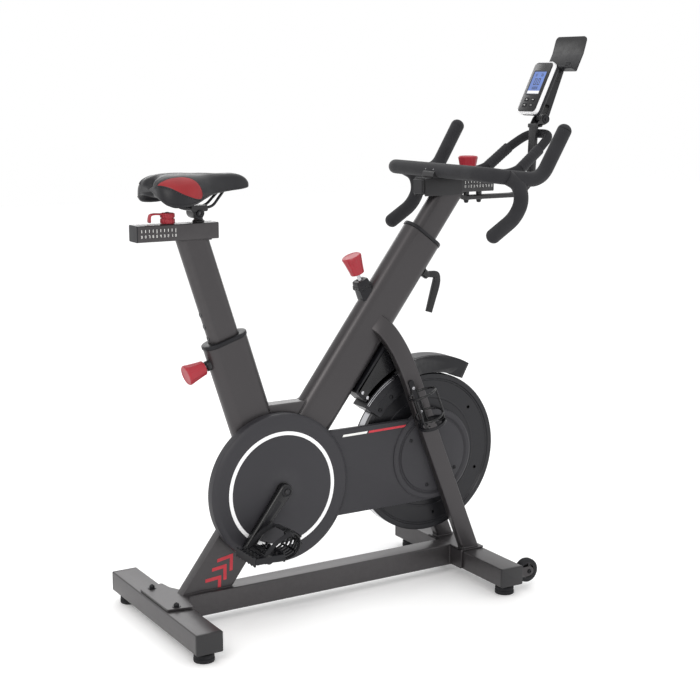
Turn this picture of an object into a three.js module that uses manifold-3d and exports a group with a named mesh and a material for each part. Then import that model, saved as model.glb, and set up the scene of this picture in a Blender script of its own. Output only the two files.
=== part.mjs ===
// Indoor spin bike: welded oval-tube frame, belt-driven flywheel with a magnetic brake,
// and a saddle and handlebar that slide on their posts.
// Millimetres. +X points forward, +Y to the rider's left, +Z up. The origin is on the floor,
// in the middle of the overall box. Heights are measured from the floor, and X_SHIFT moves
// lengths measured from the rear end of the base to that origin.
import * as THREE from 'three';
import { mergeVertices } from 'three/addons/utils/BufferGeometryUtils.js';
import Module from 'manifold-3d';

// ---------- driving dimensions ----------
const X_SHIFT = -644.16;
const GAP = 0.3; // clearance between neighbouring pieces
const WALL = 3; // wall of the steel tubes

// base
const STABILIZER = { depth: 70, height: 52, length: 530, bottom: 28, rearX: 35, frontX: 935 };
const RAIL = { width: 58, bottom: 26, top: 86 };
const FOOT = { radius: 26, height: 24, stud: 5, inset: 35 };
const WHEEL = { radius: 33, width: 22, x: 1014, z: 48, y: 222, pin: 5 };

// frame
const CRANK_AXIS = { x: 344, z: 337 };
// each main tube leans about its foot: the head tube forward, the seat tube back
const HEAD_LINE = { foot: CRANK_AXIS, tilt: THREE.MathUtils.degToRad(36.6) };
const SEAT_LINE = { foot: { x: 341, z: 337 }, tilt: THREE.MathUtils.degToRad(-17.8) };
const TUBE = { length: 120, width: 60 }; // outer oval of both main tubes
const POST = { length: 82, width: 42 }; // outer oval of both posts
const HEAD_TUBE_END = 775; // along the tube from the crank axis
const SEAT_TUBE_END = 410;
const LEVER_FROM_AXIS = 700; // height clamp, along the head tube
const COLLAR = { height: 10, sleeve: 60, lip: 2 };
const SHELL_RADIUS = 35;
const SHELL_HALF = 29;
const LEG = { width: 116, thickness: 30 };
const FORK = { width: 50, thickness: 27, y: 62 };

// saddle side
const HOUSING = { rear: -22, front: 193, width: 50, bottom: 990, top: 1030, slot: 13 };
const SADDLE_STUB = { x: 150, radius: 11 };
const CLAMP_AXIS = { x: 142, z: 1054 };
const SADDLE = { rear: 18, nose: 287, panBottom: 1097, panTop: 1108 };
const SEAT_KNOB_X = 68;
const PIN_FROM_AXIS = 369; // height pin, along the seat tube from the crank axis

// handlebar side
const SLIDE_TUBE = { rear: 792, front: 1030, half: 22, bottom: 1073, top: 1111 };
const BRACKET = { rear: 801, front: 920, tongue: 978, half: 27, bottom: 1067, top: 1116 };
const BAR_RADIUS = 19.5;
const BAR = { crossX: 850, crossZ: 1134, cornerY: 200, sideY: 241 };
const LOOP = { radius: 12.5, grip: 15, legY: 75 };
const BAR_KNOB = { x: 957, travel: 55 };
const ARM = { bottom: 1051, top: 1063, half: 15, boltsX: [953, 995] };
const KNOB = { small: 19, large: 27, length: 52 };
const PIVOT = { x: 1207, z: 1264 };
const CONSOLE_TILT = THREE.MathUtils.degToRad(26);

// drive
const FLYWHEEL = { x: 819, z: 363, radius: 221, near: -20, far: 20, hub: 28 };
const BELT = { near: -41, far: -32, thickness: 3, driveRadius: 95 };
const GUARD = { radius: 197, face: -62, armFace: -44.5, back: -30.5, wall: 2.5, bossRadius: 127 };
const CRANK = { length: 170, inner: 66, outer: 84, angle: THREE.MathUtils.degToRad(-129) };
const BRAKE_KNOB_TOP = { x: 586, z: 919 };

// ---------- solids ----------
const wasm = await Module();
wasm.setup();

function toSolid(geometry) {
  const bare = geometry.index ? geometry.toNonIndexed() : geometry.clone();
  bare.deleteAttribute('normal');
  bare.deleteAttribute('uv');
  const merged = mergeVertices(bare, 1e-4);
  const corners = merged.index.array;
  const triangles = [];
  for (let i = 0; i < corners.length; i += 3) {
    const [a, b, c] = corners.slice(i, i + 3);
    if (a !== b && b !== c && c !== a) triangles.push(a, b, c);
  }
  const vertProperties = new Float32Array(merged.attributes.position.array);
  return new wasm.Manifold(new wasm.Mesh({ numProp: 3, vertProperties, triVerts: new Uint32Array(triangles) }));
}

function toGeometry(solid) {
  const { vertProperties, triVerts } = solid.getMesh();
  const geometry = new THREE.BufferGeometry();
  geometry.setAttribute('position', new THREE.BufferAttribute(new Float32Array(vertProperties), 3));
  geometry.setIndex(new THREE.BufferAttribute(new Uint32Array(triVerts), 1));
  const flat = geometry.toNonIndexed();
  flat.computeVertexNormals();
  return flat;
}

function box(x0, x1, y0, y1, z0, z1) {
  const geometry = new THREE.BoxGeometry(x1 - x0, y1 - y0, z1 - z0);
  return toSolid(geometry.translate((x0 + x1) / 2, (y0 + y1) / 2, (z0 + z1) / 2));
}

// a cylinder or cone between two points
function rod(from, to, radius, sides = 16, endRadius = radius) {
  const start = new THREE.Vector3(...from);
  const axis = new THREE.Vector3(...to).sub(start);
  const geometry = new THREE.CylinderGeometry(endRadius, radius, axis.length(), sides);
  geometry.translate(0, axis.length() / 2, 0);
  const turn = new THREE.Quaternion().setFromUnitVectors(new THREE.Vector3(0, 1, 0), axis.clone().normalize());
  return toSolid(geometry.applyQuaternion(turn).translate(...from));
}

function discY(x, z, radius, y0, y1, sides = 32) {
  return rod([x, y0, z], [x, y1, z], radius, sides);
}

function shapeOf(points) {
  return new THREE.Shape(points.map(([x, y]) => new THREE.Vector2(x, y)));
}

// a side-view outline, made solid between two Y values
function prism(shape, y0, y1, curveSegments = 8) {
  const geometry = new THREE.ExtrudeGeometry(shape, { depth: y1 - y0, bevelEnabled: false, curveSegments });
  return toSolid(geometry.rotateX(Math.PI / 2).translate(0, y1, 0));
}

function ovalShape(length, width) {
  const half = width / 2;
  const run = (length - width) / 2;
  const shape = new THREE.Shape();
  shape.absarc(run, 0, half, -Math.PI / 2, Math.PI / 2);
  shape.absarc(-run, 0, half, Math.PI / 2, Math.PI * 1.5);
  return shape;
}

function roundedRectangle(width, height, radius) {
  const shape = new THREE.Shape();
  const [x, y] = [width / 2 - radius, height / 2 - radius];
  shape.absarc(x, y, radius, 0, Math.PI / 2);
  shape.absarc(-x, y, radius, Math.PI / 2, Math.PI);
  shape.absarc(-x, -y, radius, Math.PI, Math.PI * 1.5);
  shape.absarc(x, -y, radius, Math.PI * 1.5, Math.PI * 2);
  return shape;
}

// an oval bar along a leaning line, between two distances from the line's foot
function ovalBar(oval, from, to, { foot, tilt }) {
  const shape = ovalShape(oval.length, oval.width);
  const geometry = new THREE.ExtrudeGeometry(shape, { depth: to - from, bevelEnabled: false, curveSegments: 7 });
  return toSolid(geometry.translate(0, 0, from).rotateY(tilt).translate(foot.x, 0, foot.z));
}

function grown(oval, by) {
  return { length: oval.length + 2 * by, width: oval.width + 2 * by };
}

// a point at a distance along a leaning line, and at an offset across it in side view
function along({ foot, tilt }, distance, across = 0) {
  return {
    x: foot.x + distance * Math.sin(tilt) + across * Math.cos(tilt),
    z: foot.z + distance * Math.cos(tilt) - across * Math.sin(tilt),
  };
}

// straight runs joined by smooth corners
function bentPath(points, radius) {
  const corners = points.map((p) => new THREE.Vector3(...p));
  const path = new THREE.CurvePath();
  let last = corners[0];
  for (let i = 1; i < corners.length - 1; i++) {
    const toLast = corners[i - 1].clone().sub(corners[i]);
    const toNext = corners[i + 1].clone().sub(corners[i]);
    const cut = Math.min(radius, toLast.length() / 2.05, toNext.length() / 2.05);
    const start = corners[i].clone().addScaledVector(toLast.normalize(), cut);
    const end = corners[i].clone().addScaledVector(toNext.normalize(), cut);
    path.add(new THREE.LineCurve3(last, start));
    path.add(new THREE.QuadraticBezierCurve3(start, corners[i], end));
    last = end;
  }
  path.add(new THREE.LineCurve3(last, corners.at(-1)));
  return path;
}

function sweep(path, shape, steps, curveSegments = 3) {
  const options = { steps, extrudePath: path, bevelEnabled: false, curveSegments };
  return toSolid(new THREE.ExtrudeGeometry(shape, options));
}

function roundSweep(path, radius, steps, sides = 12) {
  const shape = new THREE.Shape();
  for (let i = 0; i < sides; i++) {
    const angle = (i / sides) * 2 * Math.PI;
    const point = [radius * Math.cos(angle), radius * Math.sin(angle)];
    if (i === 0) shape.moveTo(...point);
    else shape.lineTo(...point);
  }
  return sweep(path, shape, steps);
}

const mirrorY = (solid) => solid.mirror([0, 1, 0]);
const union = (...solids) => solids.reduce((sum, solid) => sum.add(solid));

// keeps only the largest piece after a cut
function largest(solid) {
  return solid.decompose().sort((a, b) => b.volume() - a.volume())[0];
}

// ---------- materials ----------
const finish = (color, roughness, metalness) => new THREE.MeshStandardMaterial({ color, roughness, metalness });
const FRAME_PAINT = finish(0x45424a, 0.45, 0.3);
const DARK_PAINT = finish(0x2c2b30, 0.5, 0.3);
const GUARD_PLASTIC = finish(0x3c3c41, 0.6, 0);
const BLACK_PLASTIC = finish(0x202124, 0.5, 0);
const RED_PLASTIC = finish(0xbe3a44, 0.4, 0);
const WHITE_PLASTIC = finish(0xf2f2f2, 0.3, 0);
const RUBBER = finish(0x2e2e31, 0.85, 0);
const IRON = finish(0x36363b, 0.4, 0.6);
const STEEL = finish(0xb8b8bc, 0.25, 0.9);
const LEATHER = finish(0x242427, 0.5, 0);

const bike = new THREE.Group();
bike.position.x = X_SHIFT;

function part(name, solid, material) {
  const mesh = new THREE.Mesh(toGeometry(solid), material);
  mesh.name = name;
  bike.add(mesh);
}

// ---------- base ----------
const SIDES = { right: -1, left: 1 };
const halfLength = STABILIZER.length / 2;
const footY = halfLength - FOOT.inset;

// a box tube with closed ends, and a stud hole under each end
function stabilizer(centreX) {
  const make = (inset) => {
    const shape = roundedRectangle(STABILIZER.depth - 2 * inset, STABILIZER.height - 2 * inset, 5 - inset / 2);
    const middle = STABILIZER.bottom + STABILIZER.height / 2;
    return prism(shape, inset - halfLength, halfLength - inset, 3).translate(centreX, 0, middle);
  };
  const studHole = rod([0, 0, STABILIZER.bottom - 1], [0, 0, STABILIZER.bottom + WALL + 1], FOOT.stud + GAP, 12);
  let tube = make(0).subtract(make(WALL));
  for (const side of Object.values(SIDES)) tube = tube.subtract(studHole.translate(centreX, side * footY, 0));
  return tube;
}

function wheelFork(side) {
  const front = STABILIZER.frontX + STABILIZER.depth / 2;
  const outline = new THREE.Shape();
  outline.moveTo(front - 0.5, WHEEL.z - 14);
  outline.lineTo(WHEEL.x, WHEEL.z - 14);
  outline.absarc(WHEEL.x, WHEEL.z, 14, -Math.PI / 2, Math.PI / 2);
  outline.lineTo(front - 0.5, WHEEL.z + 14);
  const centre = side * WHEEL.y;
  const reach = WHEEL.width / 2 + 2;
  const cheek = (y) => prism(outline, y - 2, y + 2, 4);
  const pin = discY(WHEEL.x, WHEEL.z, WHEEL.pin, centre - reach, centre + reach, 12);
  return union(cheek(centre - reach - 1), cheek(centre + reach + 1), pin);
}

part('rear_stabilizer', stabilizer(STABILIZER.rearX), FRAME_PAINT);
part('front_stabilizer', union(stabilizer(STABILIZER.frontX), wheelFork(-1), wheelFork(1)), FRAME_PAINT);

function baseRail() {
  const rearEnd = STABILIZER.rearX + STABILIZER.depth / 2 + GAP;
  const frontEnd = STABILIZER.frontX - STABILIZER.depth / 2 - GAP;
  const top = STABILIZER.bottom + STABILIZER.height + GAP;
  const half = RAIL.width / 2;
  const tube = box(rearEnd, frontEnd, -half, half, RAIL.bottom, RAIL.top);
  const inside = box(rearEnd + WALL, frontEnd - WALL, WALL - half, half - WALL, RAIL.bottom + WALL, RAIL.top - WALL);
  const drain = rod([450, 0, RAIL.bottom - 1], [450, 0, RAIL.bottom + WALL + 1], 6, 12);
  // the rear plate lies on the stabilizer and carries two dome-head bolts
  const plateShape = shapeOf([[5, -86], [rearEnd + 3, -100], [rearEnd + 3, 100], [5, 86]]);
  const plate = toSolid(new THREE.ExtrudeGeometry(plateShape, { depth: 5, bevelEnabled: false }).translate(0, 0, top));
  const bolt = rod([34, 0, top + 4], [34, 0, top + 12], 8, 12, 5).add(rod([34, 0, top + 4], [34, 0, top + 7], 11, 16));
  // the front saddle plate spans the feet of the fork
  const frontX = STABILIZER.frontX + STABILIZER.depth / 2;
  const saddle = box(frontEnd - 4, frontX, -85, 85, top, top + 4);
  const apron = box(frontEnd - 4, frontEnd, -85, 85, RAIL.bottom + 2, top + 4);
  const solid = union(tube.subtract(inside).subtract(drain), plate, saddle, apron);
  return union(solid, bolt.translate(0, 76, 0), bolt.translate(0, -76, 0));
}
part('base_rail', baseRail(), FRAME_PAINT);

for (const [end, centreX] of [['rear', STABILIZER.rearX], ['front', STABILIZER.frontX]]) {
  for (const [sideName, side] of Object.entries(SIDES)) {
    const pad = rod([centreX, side * footY, 0], [centreX, side * footY, FOOT.height], FOOT.radius, 24, FOOT.radius - 3);
    const stud = rod([centreX, side * footY, FOOT.height - 1], [centreX, side * footY, 56], FOOT.stud, 12);
    part(`levelling_foot_${end}_${sideName}`, pad.add(stud), RUBBER);
  }
}
for (const [sideName, side] of Object.entries(SIDES)) {
  const [y0, y1] = [side * WHEEL.y - WHEEL.width / 2, side * WHEEL.y + WHEEL.width / 2];
  const tyre = discY(WHEEL.x, WHEEL.z, WHEEL.radius, y0, y1, 28);
  part(`transport_wheel_${sideName}`, tyre.subtract(discY(WHEEL.x, WHEEL.z, WHEEL.pin + GAP, y0 - 1, y1 + 1, 12)), RUBBER);
}

// ---------- frame ----------
const headEnvelope = ovalBar(grown(TUBE, GAP), -1, HEAD_TUBE_END, HEAD_LINE);
const seatEnvelope = ovalBar(grown(TUBE, GAP), -1, SEAT_TUBE_END, SEAT_LINE);
const shellEnvelope = discY(CRANK_AXIS.x, CRANK_AXIS.z, SHELL_RADIUS + GAP, -40, 40, 28);

const shell = discY(CRANK_AXIS.x, CRANK_AXIS.z, SHELL_RADIUS, -SHELL_HALF, SHELL_HALF, 28);
const shellBore = discY(CRANK_AXIS.x, CRANK_AXIS.z, 12, -SHELL_HALF - 1, SHELL_HALF + 1, 20);
part('bottom_bracket_shell', shell.subtract(shellBore), DARK_PAINT);

// the brake rod runs from its knob through the head tube towards the flywheel's centre
const ROD_LINE = { foot: FLYWHEEL, tilt: Math.atan2(BRAKE_KNOB_TOP.x - FLYWHEEL.x, BRAKE_KNOB_TOP.z - FLYWHEEL.z) };
const rodLength = Math.hypot(BRAKE_KNOB_TOP.x - FLYWHEEL.x, BRAKE_KNOB_TOP.z - FLYWHEEL.z);
function onRod(distance, y = 0) {
  const { x, z } = along(ROD_LINE, distance);
  return [x, y, z];
}
const ROD = { radius: 5, knobFoot: rodLength - KNOB.length, bossTop: rodLength - KNOB.length - 18 };
const rodHole = rod(onRod(240), onRod(rodLength), ROD.radius + GAP, 12);

function headTube() {
  const outer = ovalBar(TUBE, 0, HEAD_TUBE_END, HEAD_LINE);
  const inner = ovalBar(grown(TUBE, -WALL), -1, HEAD_TUBE_END + 1, HEAD_LINE);
  const boss = rod(onRod(ROD.bossTop - 90), onRod(ROD.bossTop), 21, 6, 18).subtract(inner);
  const leverHole = along(HEAD_LINE, LEVER_FROM_AXIS, TUBE.length / 2 + 4);
  const leverEnd = along(HEAD_LINE, LEVER_FROM_AXIS, TUBE.length / 2 - 12);
  const cut = rod([leverEnd.x, 0, leverEnd.z], [leverHole.x, 0, leverHole.z], 5 + GAP, 12);
  return outer.subtract(inner).add(boss).subtract(shellEnvelope).subtract(rodHole).subtract(cut);
}
part('head_tube', headTube(), FRAME_PAINT);

const pinInner = along(SEAT_LINE, PIN_FROM_AXIS, -POST.length / 2 - 2);
const pinOuter = along(SEAT_LINE, PIN_FROM_AXIS, -TUBE.length / 2 - 16);
function pinRod(radius, sides) {
  return rod([pinInner.x, 0, pinInner.z], [pinOuter.x, 0, pinOuter.z], radius, sides);
}

function seatTube() {
  const outer = ovalBar(TUBE, 0, SEAT_TUBE_END, SEAT_LINE);
  const inner = ovalBar(grown(TUBE, -WALL), -1, SEAT_TUBE_END + 1, SEAT_LINE);
  const bossStart = along(SEAT_LINE, PIN_FROM_AXIS, -TUBE.length / 2 + 2);
  const bossEnd = along(SEAT_LINE, PIN_FROM_AXIS, -TUBE.length / 2 - 10);
  const boss = rod([bossStart.x, 0, bossStart.z], [bossEnd.x, 0, bossEnd.z], 13, 20);
  const tube = outer.subtract(inner).add(boss).subtract(headEnvelope).subtract(shellEnvelope);
  return tube.subtract(pinRod(6 + GAP, 16));
}
part('seat_tube', seatTube(), FRAME_PAINT);

function rearLeg() {
  const tube = (inset) => {
    const shape = roundedRectangle(LEG.width - 2 * inset, LEG.thickness - 2 * inset, 3 - inset / 2);
    const geometry = new THREE.ExtrudeGeometry(shape, { depth: 420, bevelEnabled: false, curveSegments: 2 });
    return toSolid(geometry.translate(-8, 0, -420).rotateY(HEAD_LINE.tilt).translate(CRANK_AXIS.x, 0, CRANK_AXIS.z));
  };
  const aboveRail = box(-200, 800, -100, 100, RAIL.top + GAP, 800);
  const leg = tube(0).subtract(tube(WALL)).intersect(aboveRail);
  return leg.subtract(shellEnvelope).subtract(seatEnvelope).subtract(headEnvelope);
}
part('rear_leg', rearLeg(), FRAME_PAINT);

const bridge = box(250, 470, -22, 22, 500, 552);
part('bridge_tube', bridge.subtract(seatEnvelope).subtract(headEnvelope), FRAME_PAINT);

// each fork leg rises from the saddle plate, past the flywheel, and bends in to the head tube
function forkLeg() {
  const foot = STABILIZER.bottom + STABILIZER.height + GAP + 4 + GAP;
  const y = -FORK.y;
  const points = [
    [941, y, foot - 20], [778, y, 474], [728, y + 1, 602], [697, y + 9, 672], [668, y + 28, 722], [646, y + 50, 744],
  ];
  const path = new THREE.CatmullRomCurve3(points.map((p) => new THREE.Vector3(...p)), false, 'centripetal');
  const outer = sweep(path, roundedRectangle(FORK.thickness, FORK.width, 5), 14, 2);
  const leg = outer.subtract(sweep(path, roundedRectangle(FORK.thickness - 6, FORK.width - 6, 1), 14, 1));
  const axle = discY(FLYWHEEL.x, FLYWHEEL.z, 10 + GAP, -68, 0, 20);
  return leg.subtract(box(800, 1100, -200, 0, -50, foot)).subtract(headEnvelope).subtract(axle);
}
part('fork_leg_right', forkLeg(), FRAME_PAINT);
part('fork_leg_left', mirrorY(forkLeg()), FRAME_PAINT);

// a collar fills the space between tube and post
function collar(end, tilt) {
  const flange = ovalBar(grown(TUBE, COLLAR.lip), end + GAP, end + COLLAR.height, tilt);
  const sleeve = ovalBar(grown(TUBE, -WALL - GAP), end - COLLAR.sleeve, end + COLLAR.height, tilt);
  const hole = ovalBar(grown(POST, GAP), end - COLLAR.sleeve - 1, end + COLLAR.height + 1, tilt);
  return flange.add(sleeve).subtract(hole);
}
part('seat_tube_collar', collar(SEAT_TUBE_END, SEAT_LINE).subtract(pinRod(6 + GAP, 16)), BLACK_PLASTIC);
part('head_tube_collar', collar(HEAD_TUBE_END, HEAD_LINE), BLACK_PLASTIC);

// ---------- saddle side ----------
function taperedKnob(from, towards) {
  const start = new THREE.Vector3(...from);
  const direction = new THREE.Vector3(...towards).sub(start).normalize();
  const at = (distance) => start.clone().addScaledVector(direction, distance).toArray();
  const body = rod(at(0), at(KNOB.length - 5), KNOB.small, 12, KNOB.large);
  const rim = rod(at(KNOB.length - 5), at(KNOB.length), KNOB.large, 12, KNOB.large - 3);
  return body.add(rim);
}

function seatPost() {
  const outer = ovalBar(POST, SEAT_TUBE_END - 150, SEAT_TUBE_END + 330, SEAT_LINE);
  const inner = ovalBar(grown(POST, -WALL), SEAT_TUBE_END - 151, SEAT_TUBE_END + 331, SEAT_LINE);
  const underHousing = box(-300, 600, -100, 100, 0, HOUSING.bottom - GAP);
  let post = outer.subtract(inner).intersect(underHousing);
  for (let i = -1; i < 5; i++) {
    const from = along(SEAT_LINE, PIN_FROM_AXIS + 32 * i, -POST.length / 2 - 4);
    const to = along(SEAT_LINE, PIN_FROM_AXIS + 32 * i, -POST.length / 2 + 8);
    post = post.subtract(rod([from.x, 0, from.z], [to.x, 0, to.z], 6.5, 8));
  }
  return post;
}
part('seat_post', seatPost(), FRAME_PAINT);

function seatHeightKnob() {
  const foot = along(SEAT_LINE, PIN_FROM_AXIS, -TUBE.length / 2 - 15);
  const away = along(SEAT_LINE, PIN_FROM_AXIS, -TUBE.length / 2 - 80);
  return taperedKnob([foot.x, 0, foot.z], [away.x, 0, away.z]).add(pinRod(6, 16));
}
part('seat_height_knob', seatHeightKnob(), RED_PLASTIC);

function seatHousing() {
  const half = HOUSING.width / 2;
  const outer = box(HOUSING.rear, HOUSING.front, -half, half, HOUSING.bottom, HOUSING.top);
  const inner = box(HOUSING.rear + WALL, HOUSING.front - WALL, WALL - half, half - WALL, HOUSING.bottom + WALL, HOUSING.top - WALL);
  const slot = box(-12, 180, -HOUSING.slot / 2, HOUSING.slot / 2, HOUSING.top - 10, HOUSING.top + 10);
  return outer.subtract(inner).subtract(slot);
}
part('seat_housing', seatHousing(), FRAME_PAINT);

function seatCarriage() {
  const half = HOUSING.width / 2 - WALL - GAP;
  const bar = box(56, 174, -half, half, HOUSING.bottom + WALL + GAP, HOUSING.top - WALL - GAP);
  const neck = box(SADDLE_STUB.x - 10, SADDLE_STUB.x + 10, -6, 6, HOUSING.top - 10, HOUSING.top + 3);
  const post = rod([SADDLE_STUB.x, 0, HOUSING.top + 1], [SADDLE_STUB.x, 0, 1048], SADDLE_STUB.radius, 20);
  const stub = post.subtract(discY(CLAMP_AXIS.x, CLAMP_AXIS.z, 15 + GAP, -30, 30, 20));
  const boltHole = rod([SEAT_KNOB_X, 0, HOUSING.bottom + 10], [SEAT_KNOB_X, 0, HOUSING.top + 1], 5 + GAP, 12);
  return union(bar.subtract(boltHole), neck, stub);
}
part('seat_carriage', seatCarriage(), BLACK_PLASTIC);

// the quick-release handle: a ribbed hub with a flat lever whose tip turns down
function seatSlideKnob() {
  const hub = rod([SEAT_KNOB_X, 0, HOUSING.top + 1], [SEAT_KNOB_X, 0, HOUSING.top + 27], 18, 16);
  const bolt = rod([SEAT_KNOB_X, 0, HOUSING.bottom + 14], [SEAT_KNOB_X, 0, HOUSING.top + 2], 5, 12);
  const lever = box(SEAT_KNOB_X - 50, SEAT_KNOB_X - 10, -9, 9, HOUSING.top + 22, HOUSING.top + 26);
  const tip = box(SEAT_KNOB_X - 50, SEAT_KNOB_X - 44, -9, 9, HOUSING.top + 3, HOUSING.top + 26);
  return union(hub, bolt, lever, tip);
}
part('seat_slide_knob', seatSlideKnob(), RED_PLASTIC);

// the clamp holds two rails in side cheeks on one cross bolt
function saddleClamp() {
  const { x, z } = CLAMP_AXIS;
  const barrel = discY(x, z, 15, -22, 22, 20);
  const upper = box(x - 22, x + 22, -27, 27, z + 4, z + 15);
  const bolt = discY(x, z, 7, -32, 32, 10);
  const rails = union(...[-1, 1].map((side) => rod([x - 40, side * 20, z + 13], [x + 40, side * 20, z + 13], 3.5 + 2 * GAP, 10)));
  return union(barrel, upper, bolt).subtract(rails);
}
part('saddle_clamp', saddleClamp(), BLACK_PLASTIC);

function saddleRails() {
  const z = CLAMP_AXIS.z + 13;
  const rail = (side) => [
    [SADDLE.rear + 42, side * 38, SADDLE.panBottom - 4],
    [SADDLE.rear + 75, side * 24, z],
    [SADDLE.rear + 100, side * 20, z],
    [SADDLE.rear + 160, side * 20, z],
    [SADDLE.nose - 70, side * 12, SADDLE.panBottom - 4],
  ];
  const right = rail(-1);
  const left = rail(1).reverse();
  const path = bentPath([...right, ...left], 14);
  return roundSweep(path, 3.5, 36, 6);
}
part('saddle_rails', saddleRails(), STEEL);

// a closed body through a row of rings with equal point counts
function loft(rings) {
  const count = rings[0].length;
  const positions = rings.flat(2);
  const index = [];
  for (let i = 0; i < rings.length - 1; i++) {
    for (let j = 0; j < count; j++) {
      const [a, b] = [i * count + j, i * count + ((j + 1) % count)];
      index.push(a, b, a + count, b, b + count, a + count);
    }
  }
  const last = (rings.length - 1) * count;
  for (let j = 1; j < count - 1; j++) {
    index.push(0, j + 1, j);
    index.push(last, last + j, last + j + 1);
  }
  const geometry = new THREE.BufferGeometry();
  geometry.setAttribute('position', new THREE.Float32BufferAttribute(positions, 3));
  geometry.setIndex(index);
  const solid = toSolid(geometry);
  return solid;
}

// saddle stations: x, half width, skirt height, crown height
const SADDLE_STATIONS = [
  [18, 54, 1104, 1122], [23, 72, 1092, 1134], [34, 85, 1081, 1142], [52, 92, 1077, 1148], [82, 93, 1077, 1151],
  [112, 84, 1083, 1151], [142, 65, 1092, 1150], [170, 45, 1099, 1150], [200, 33, 1103, 1149], [230, 27, 1106, 1148],
  [256, 24, 1108, 1144], [274, 19, 1110, 1136], [284, 11, 1113, 1126],
];

// one cross-section: flat below, rounded shoulders, crowned top with a shallow channel
function saddleRing([x, half, low, high], inset, floor) {
  const ring = [];
  const steps = 16;
  for (let i = 0; i <= steps; i++) {
    const angle = (Math.PI * i) / steps;
    const across = Math.sign(Math.cos(angle)) * Math.abs(Math.cos(angle)) ** 0.62;
    const rise = Math.sin(angle) ** 0.72;
    const channel = 4 * Math.exp(-((across * half) ** 2) / 140) * (x < 240 ? 1 : 0);
    const base = Math.max(low, floor);
    const y = across * Math.max(3, half - inset);
    ring.push([x, y, base + (high - inset - base) * rise - channel * rise]);
  }
  return ring;
}
const padRings = SADDLE_STATIONS.map((station) => saddleRing(station, 0, 0));
const panShape = (grow) => {
  const rings = SADDLE_STATIONS.slice(2, 12).map(([x, half]) => {
    const y = Math.max(4, half - 15) + grow;
    return [[x, y, SADDLE.panBottom - grow], [x, y, SADDLE.panTop + grow], [x, -y, SADDLE.panTop + grow], [x, -y, SADDLE.panBottom - grow]];
  });
  return loft(rings);
};
part('saddle_base', panShape(0), BLACK_PLASTIC);

// the padding is recessed below for the base
function saddlePad() {
  const recess = union(panShape(GAP), panShape(GAP).translate(0, 0, -10), panShape(GAP).translate(0, 0, -20));
  const ends = box(34 - GAP, 34, -71 - GAP, 71 + GAP, 1070, SADDLE.panTop + GAP).add(box(274, 274 + GAP, -6, 6, 1070, SADDLE.panTop + GAP));
  return loft(padRings).subtract(recess).subtract(ends);
}
part('saddle_pad', largest(saddlePad()), LEATHER);

// ---------- handlebar side ----------
function handlebarPost() {
  const outer = ovalBar(POST, HEAD_TUBE_END - 150, HEAD_TUBE_END + 260, HEAD_LINE);
  const inner = ovalBar(grown(POST, -WALL), HEAD_TUBE_END - 151, HEAD_TUBE_END + 261, HEAD_LINE);
  return outer.subtract(inner).intersect(box(0, 1400, -100, 100, 0, SLIDE_TUBE.bottom - GAP));
}
part('handlebar_post', handlebarPost(), FRAME_PAINT);

// the square tube on the post, marked with a scale; the handlebar's bracket slides along it
function slideTube() {
  const { rear, front, half, bottom, top } = SLIDE_TUBE;
  const outer = box(rear, front, -half, half, bottom, top);
  const inner = box(rear + WALL, front - WALL, WALL - half, half - WALL, bottom + WALL, top - WALL);
  const boltHole = rod([BAR_KNOB.x, 0, bottom + 10], [BAR_KNOB.x, 0, top + 1], 5 + GAP, 12);
  return outer.subtract(inner).subtract(boltHole);
}
part('handlebar_slide_tube', slideTube(), DARK_PAINT);

function handlebarPath() {
  const half = (side) => [
    [1100, side * BAR.sideY, 1256],
    [1016, side * BAR.sideY, 1116],
    [940, side * BAR.sideY, 1122],
    [BAR.crossX, side * (BAR.cornerY + 22), BAR.crossZ],
  ];
  return bentPath([...half(-1), ...half(1).reverse()], 60);
}
const barSolid = roundSweep(handlebarPath(), BAR_RADIUS, 56, 10);
const barEnvelope = roundSweep(handlebarPath(), BAR_RADIUS + GAP, 56, 10);

// the bracket wraps the top and sides of the slide tube, and its slotted tongue runs under the knob
function handlebarBracket() {
  const { rear, front, tongue, half, bottom, top } = BRACKET;
  const shell = box(rear, front, -half, half, bottom, top);
  const room = box(rear - 1, tongue + 1, -SLIDE_TUBE.half - GAP, SLIDE_TUBE.half + GAP, bottom - 1, SLIDE_TUBE.top + GAP);
  const plate = box(front - 1, tongue, -18, 18, SLIDE_TUBE.top + GAP, top);
  const cradle = box(BAR.crossX - 26, BAR.crossX + 26, -half, half, top - 1, BAR.crossZ + 4);
  const slotStart = BAR_KNOB.x - BAR_KNOB.travel - 7;
  const slot = box(slotStart, BAR_KNOB.x + 8, -6, 6, SLIDE_TUBE.top - 2, top + 1);
  return union(shell.subtract(room), plate, cradle).subtract(barEnvelope).subtract(slot);
}
part('handlebar_bracket', handlebarBracket(), DARK_PAINT);
part('handlebar', barSolid, RUBBER);

function handlebarDrop(side) {
  const y = side * BAR.sideY;
  const points = [[900, y, 1128], [946, y, 1108], [958, y, 1062], [934, y, 1020], [852, y, 968]];
  return roundSweep(bentPath(points, 34), BAR_RADIUS, 18, 10).subtract(barEnvelope);
}
part('handlebar_drop_right', largest(handlebarDrop(-1)), RUBBER);
part('handlebar_drop_left', largest(handlebarDrop(1)), RUBBER);

function aeroLoop() {
  const leg = (side) => [
    [862, side * LOOP.legY, 1128],
    [1062, side * LOOP.legY, 1121],
    [1148, side * (LOOP.legY - 6), 1186],
    [1203, side * (LOOP.legY - 27), 1224],
  ];
  const path = bentPath([...leg(-1), ...leg(1).reverse()], 46);
  const tube = roundSweep(path, LOOP.radius, 44, 10);
  const grip = (side) => rod([1078, side * (LOOP.legY - 1), 1133], [1146, side * (LOOP.legY - 6), 1184.5], LOOP.grip, 14);
  return union(tube, grip(-1), grip(1)).subtract(barEnvelope);
}
part('aero_loop', largest(aeroLoop()), RUBBER);

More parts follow.
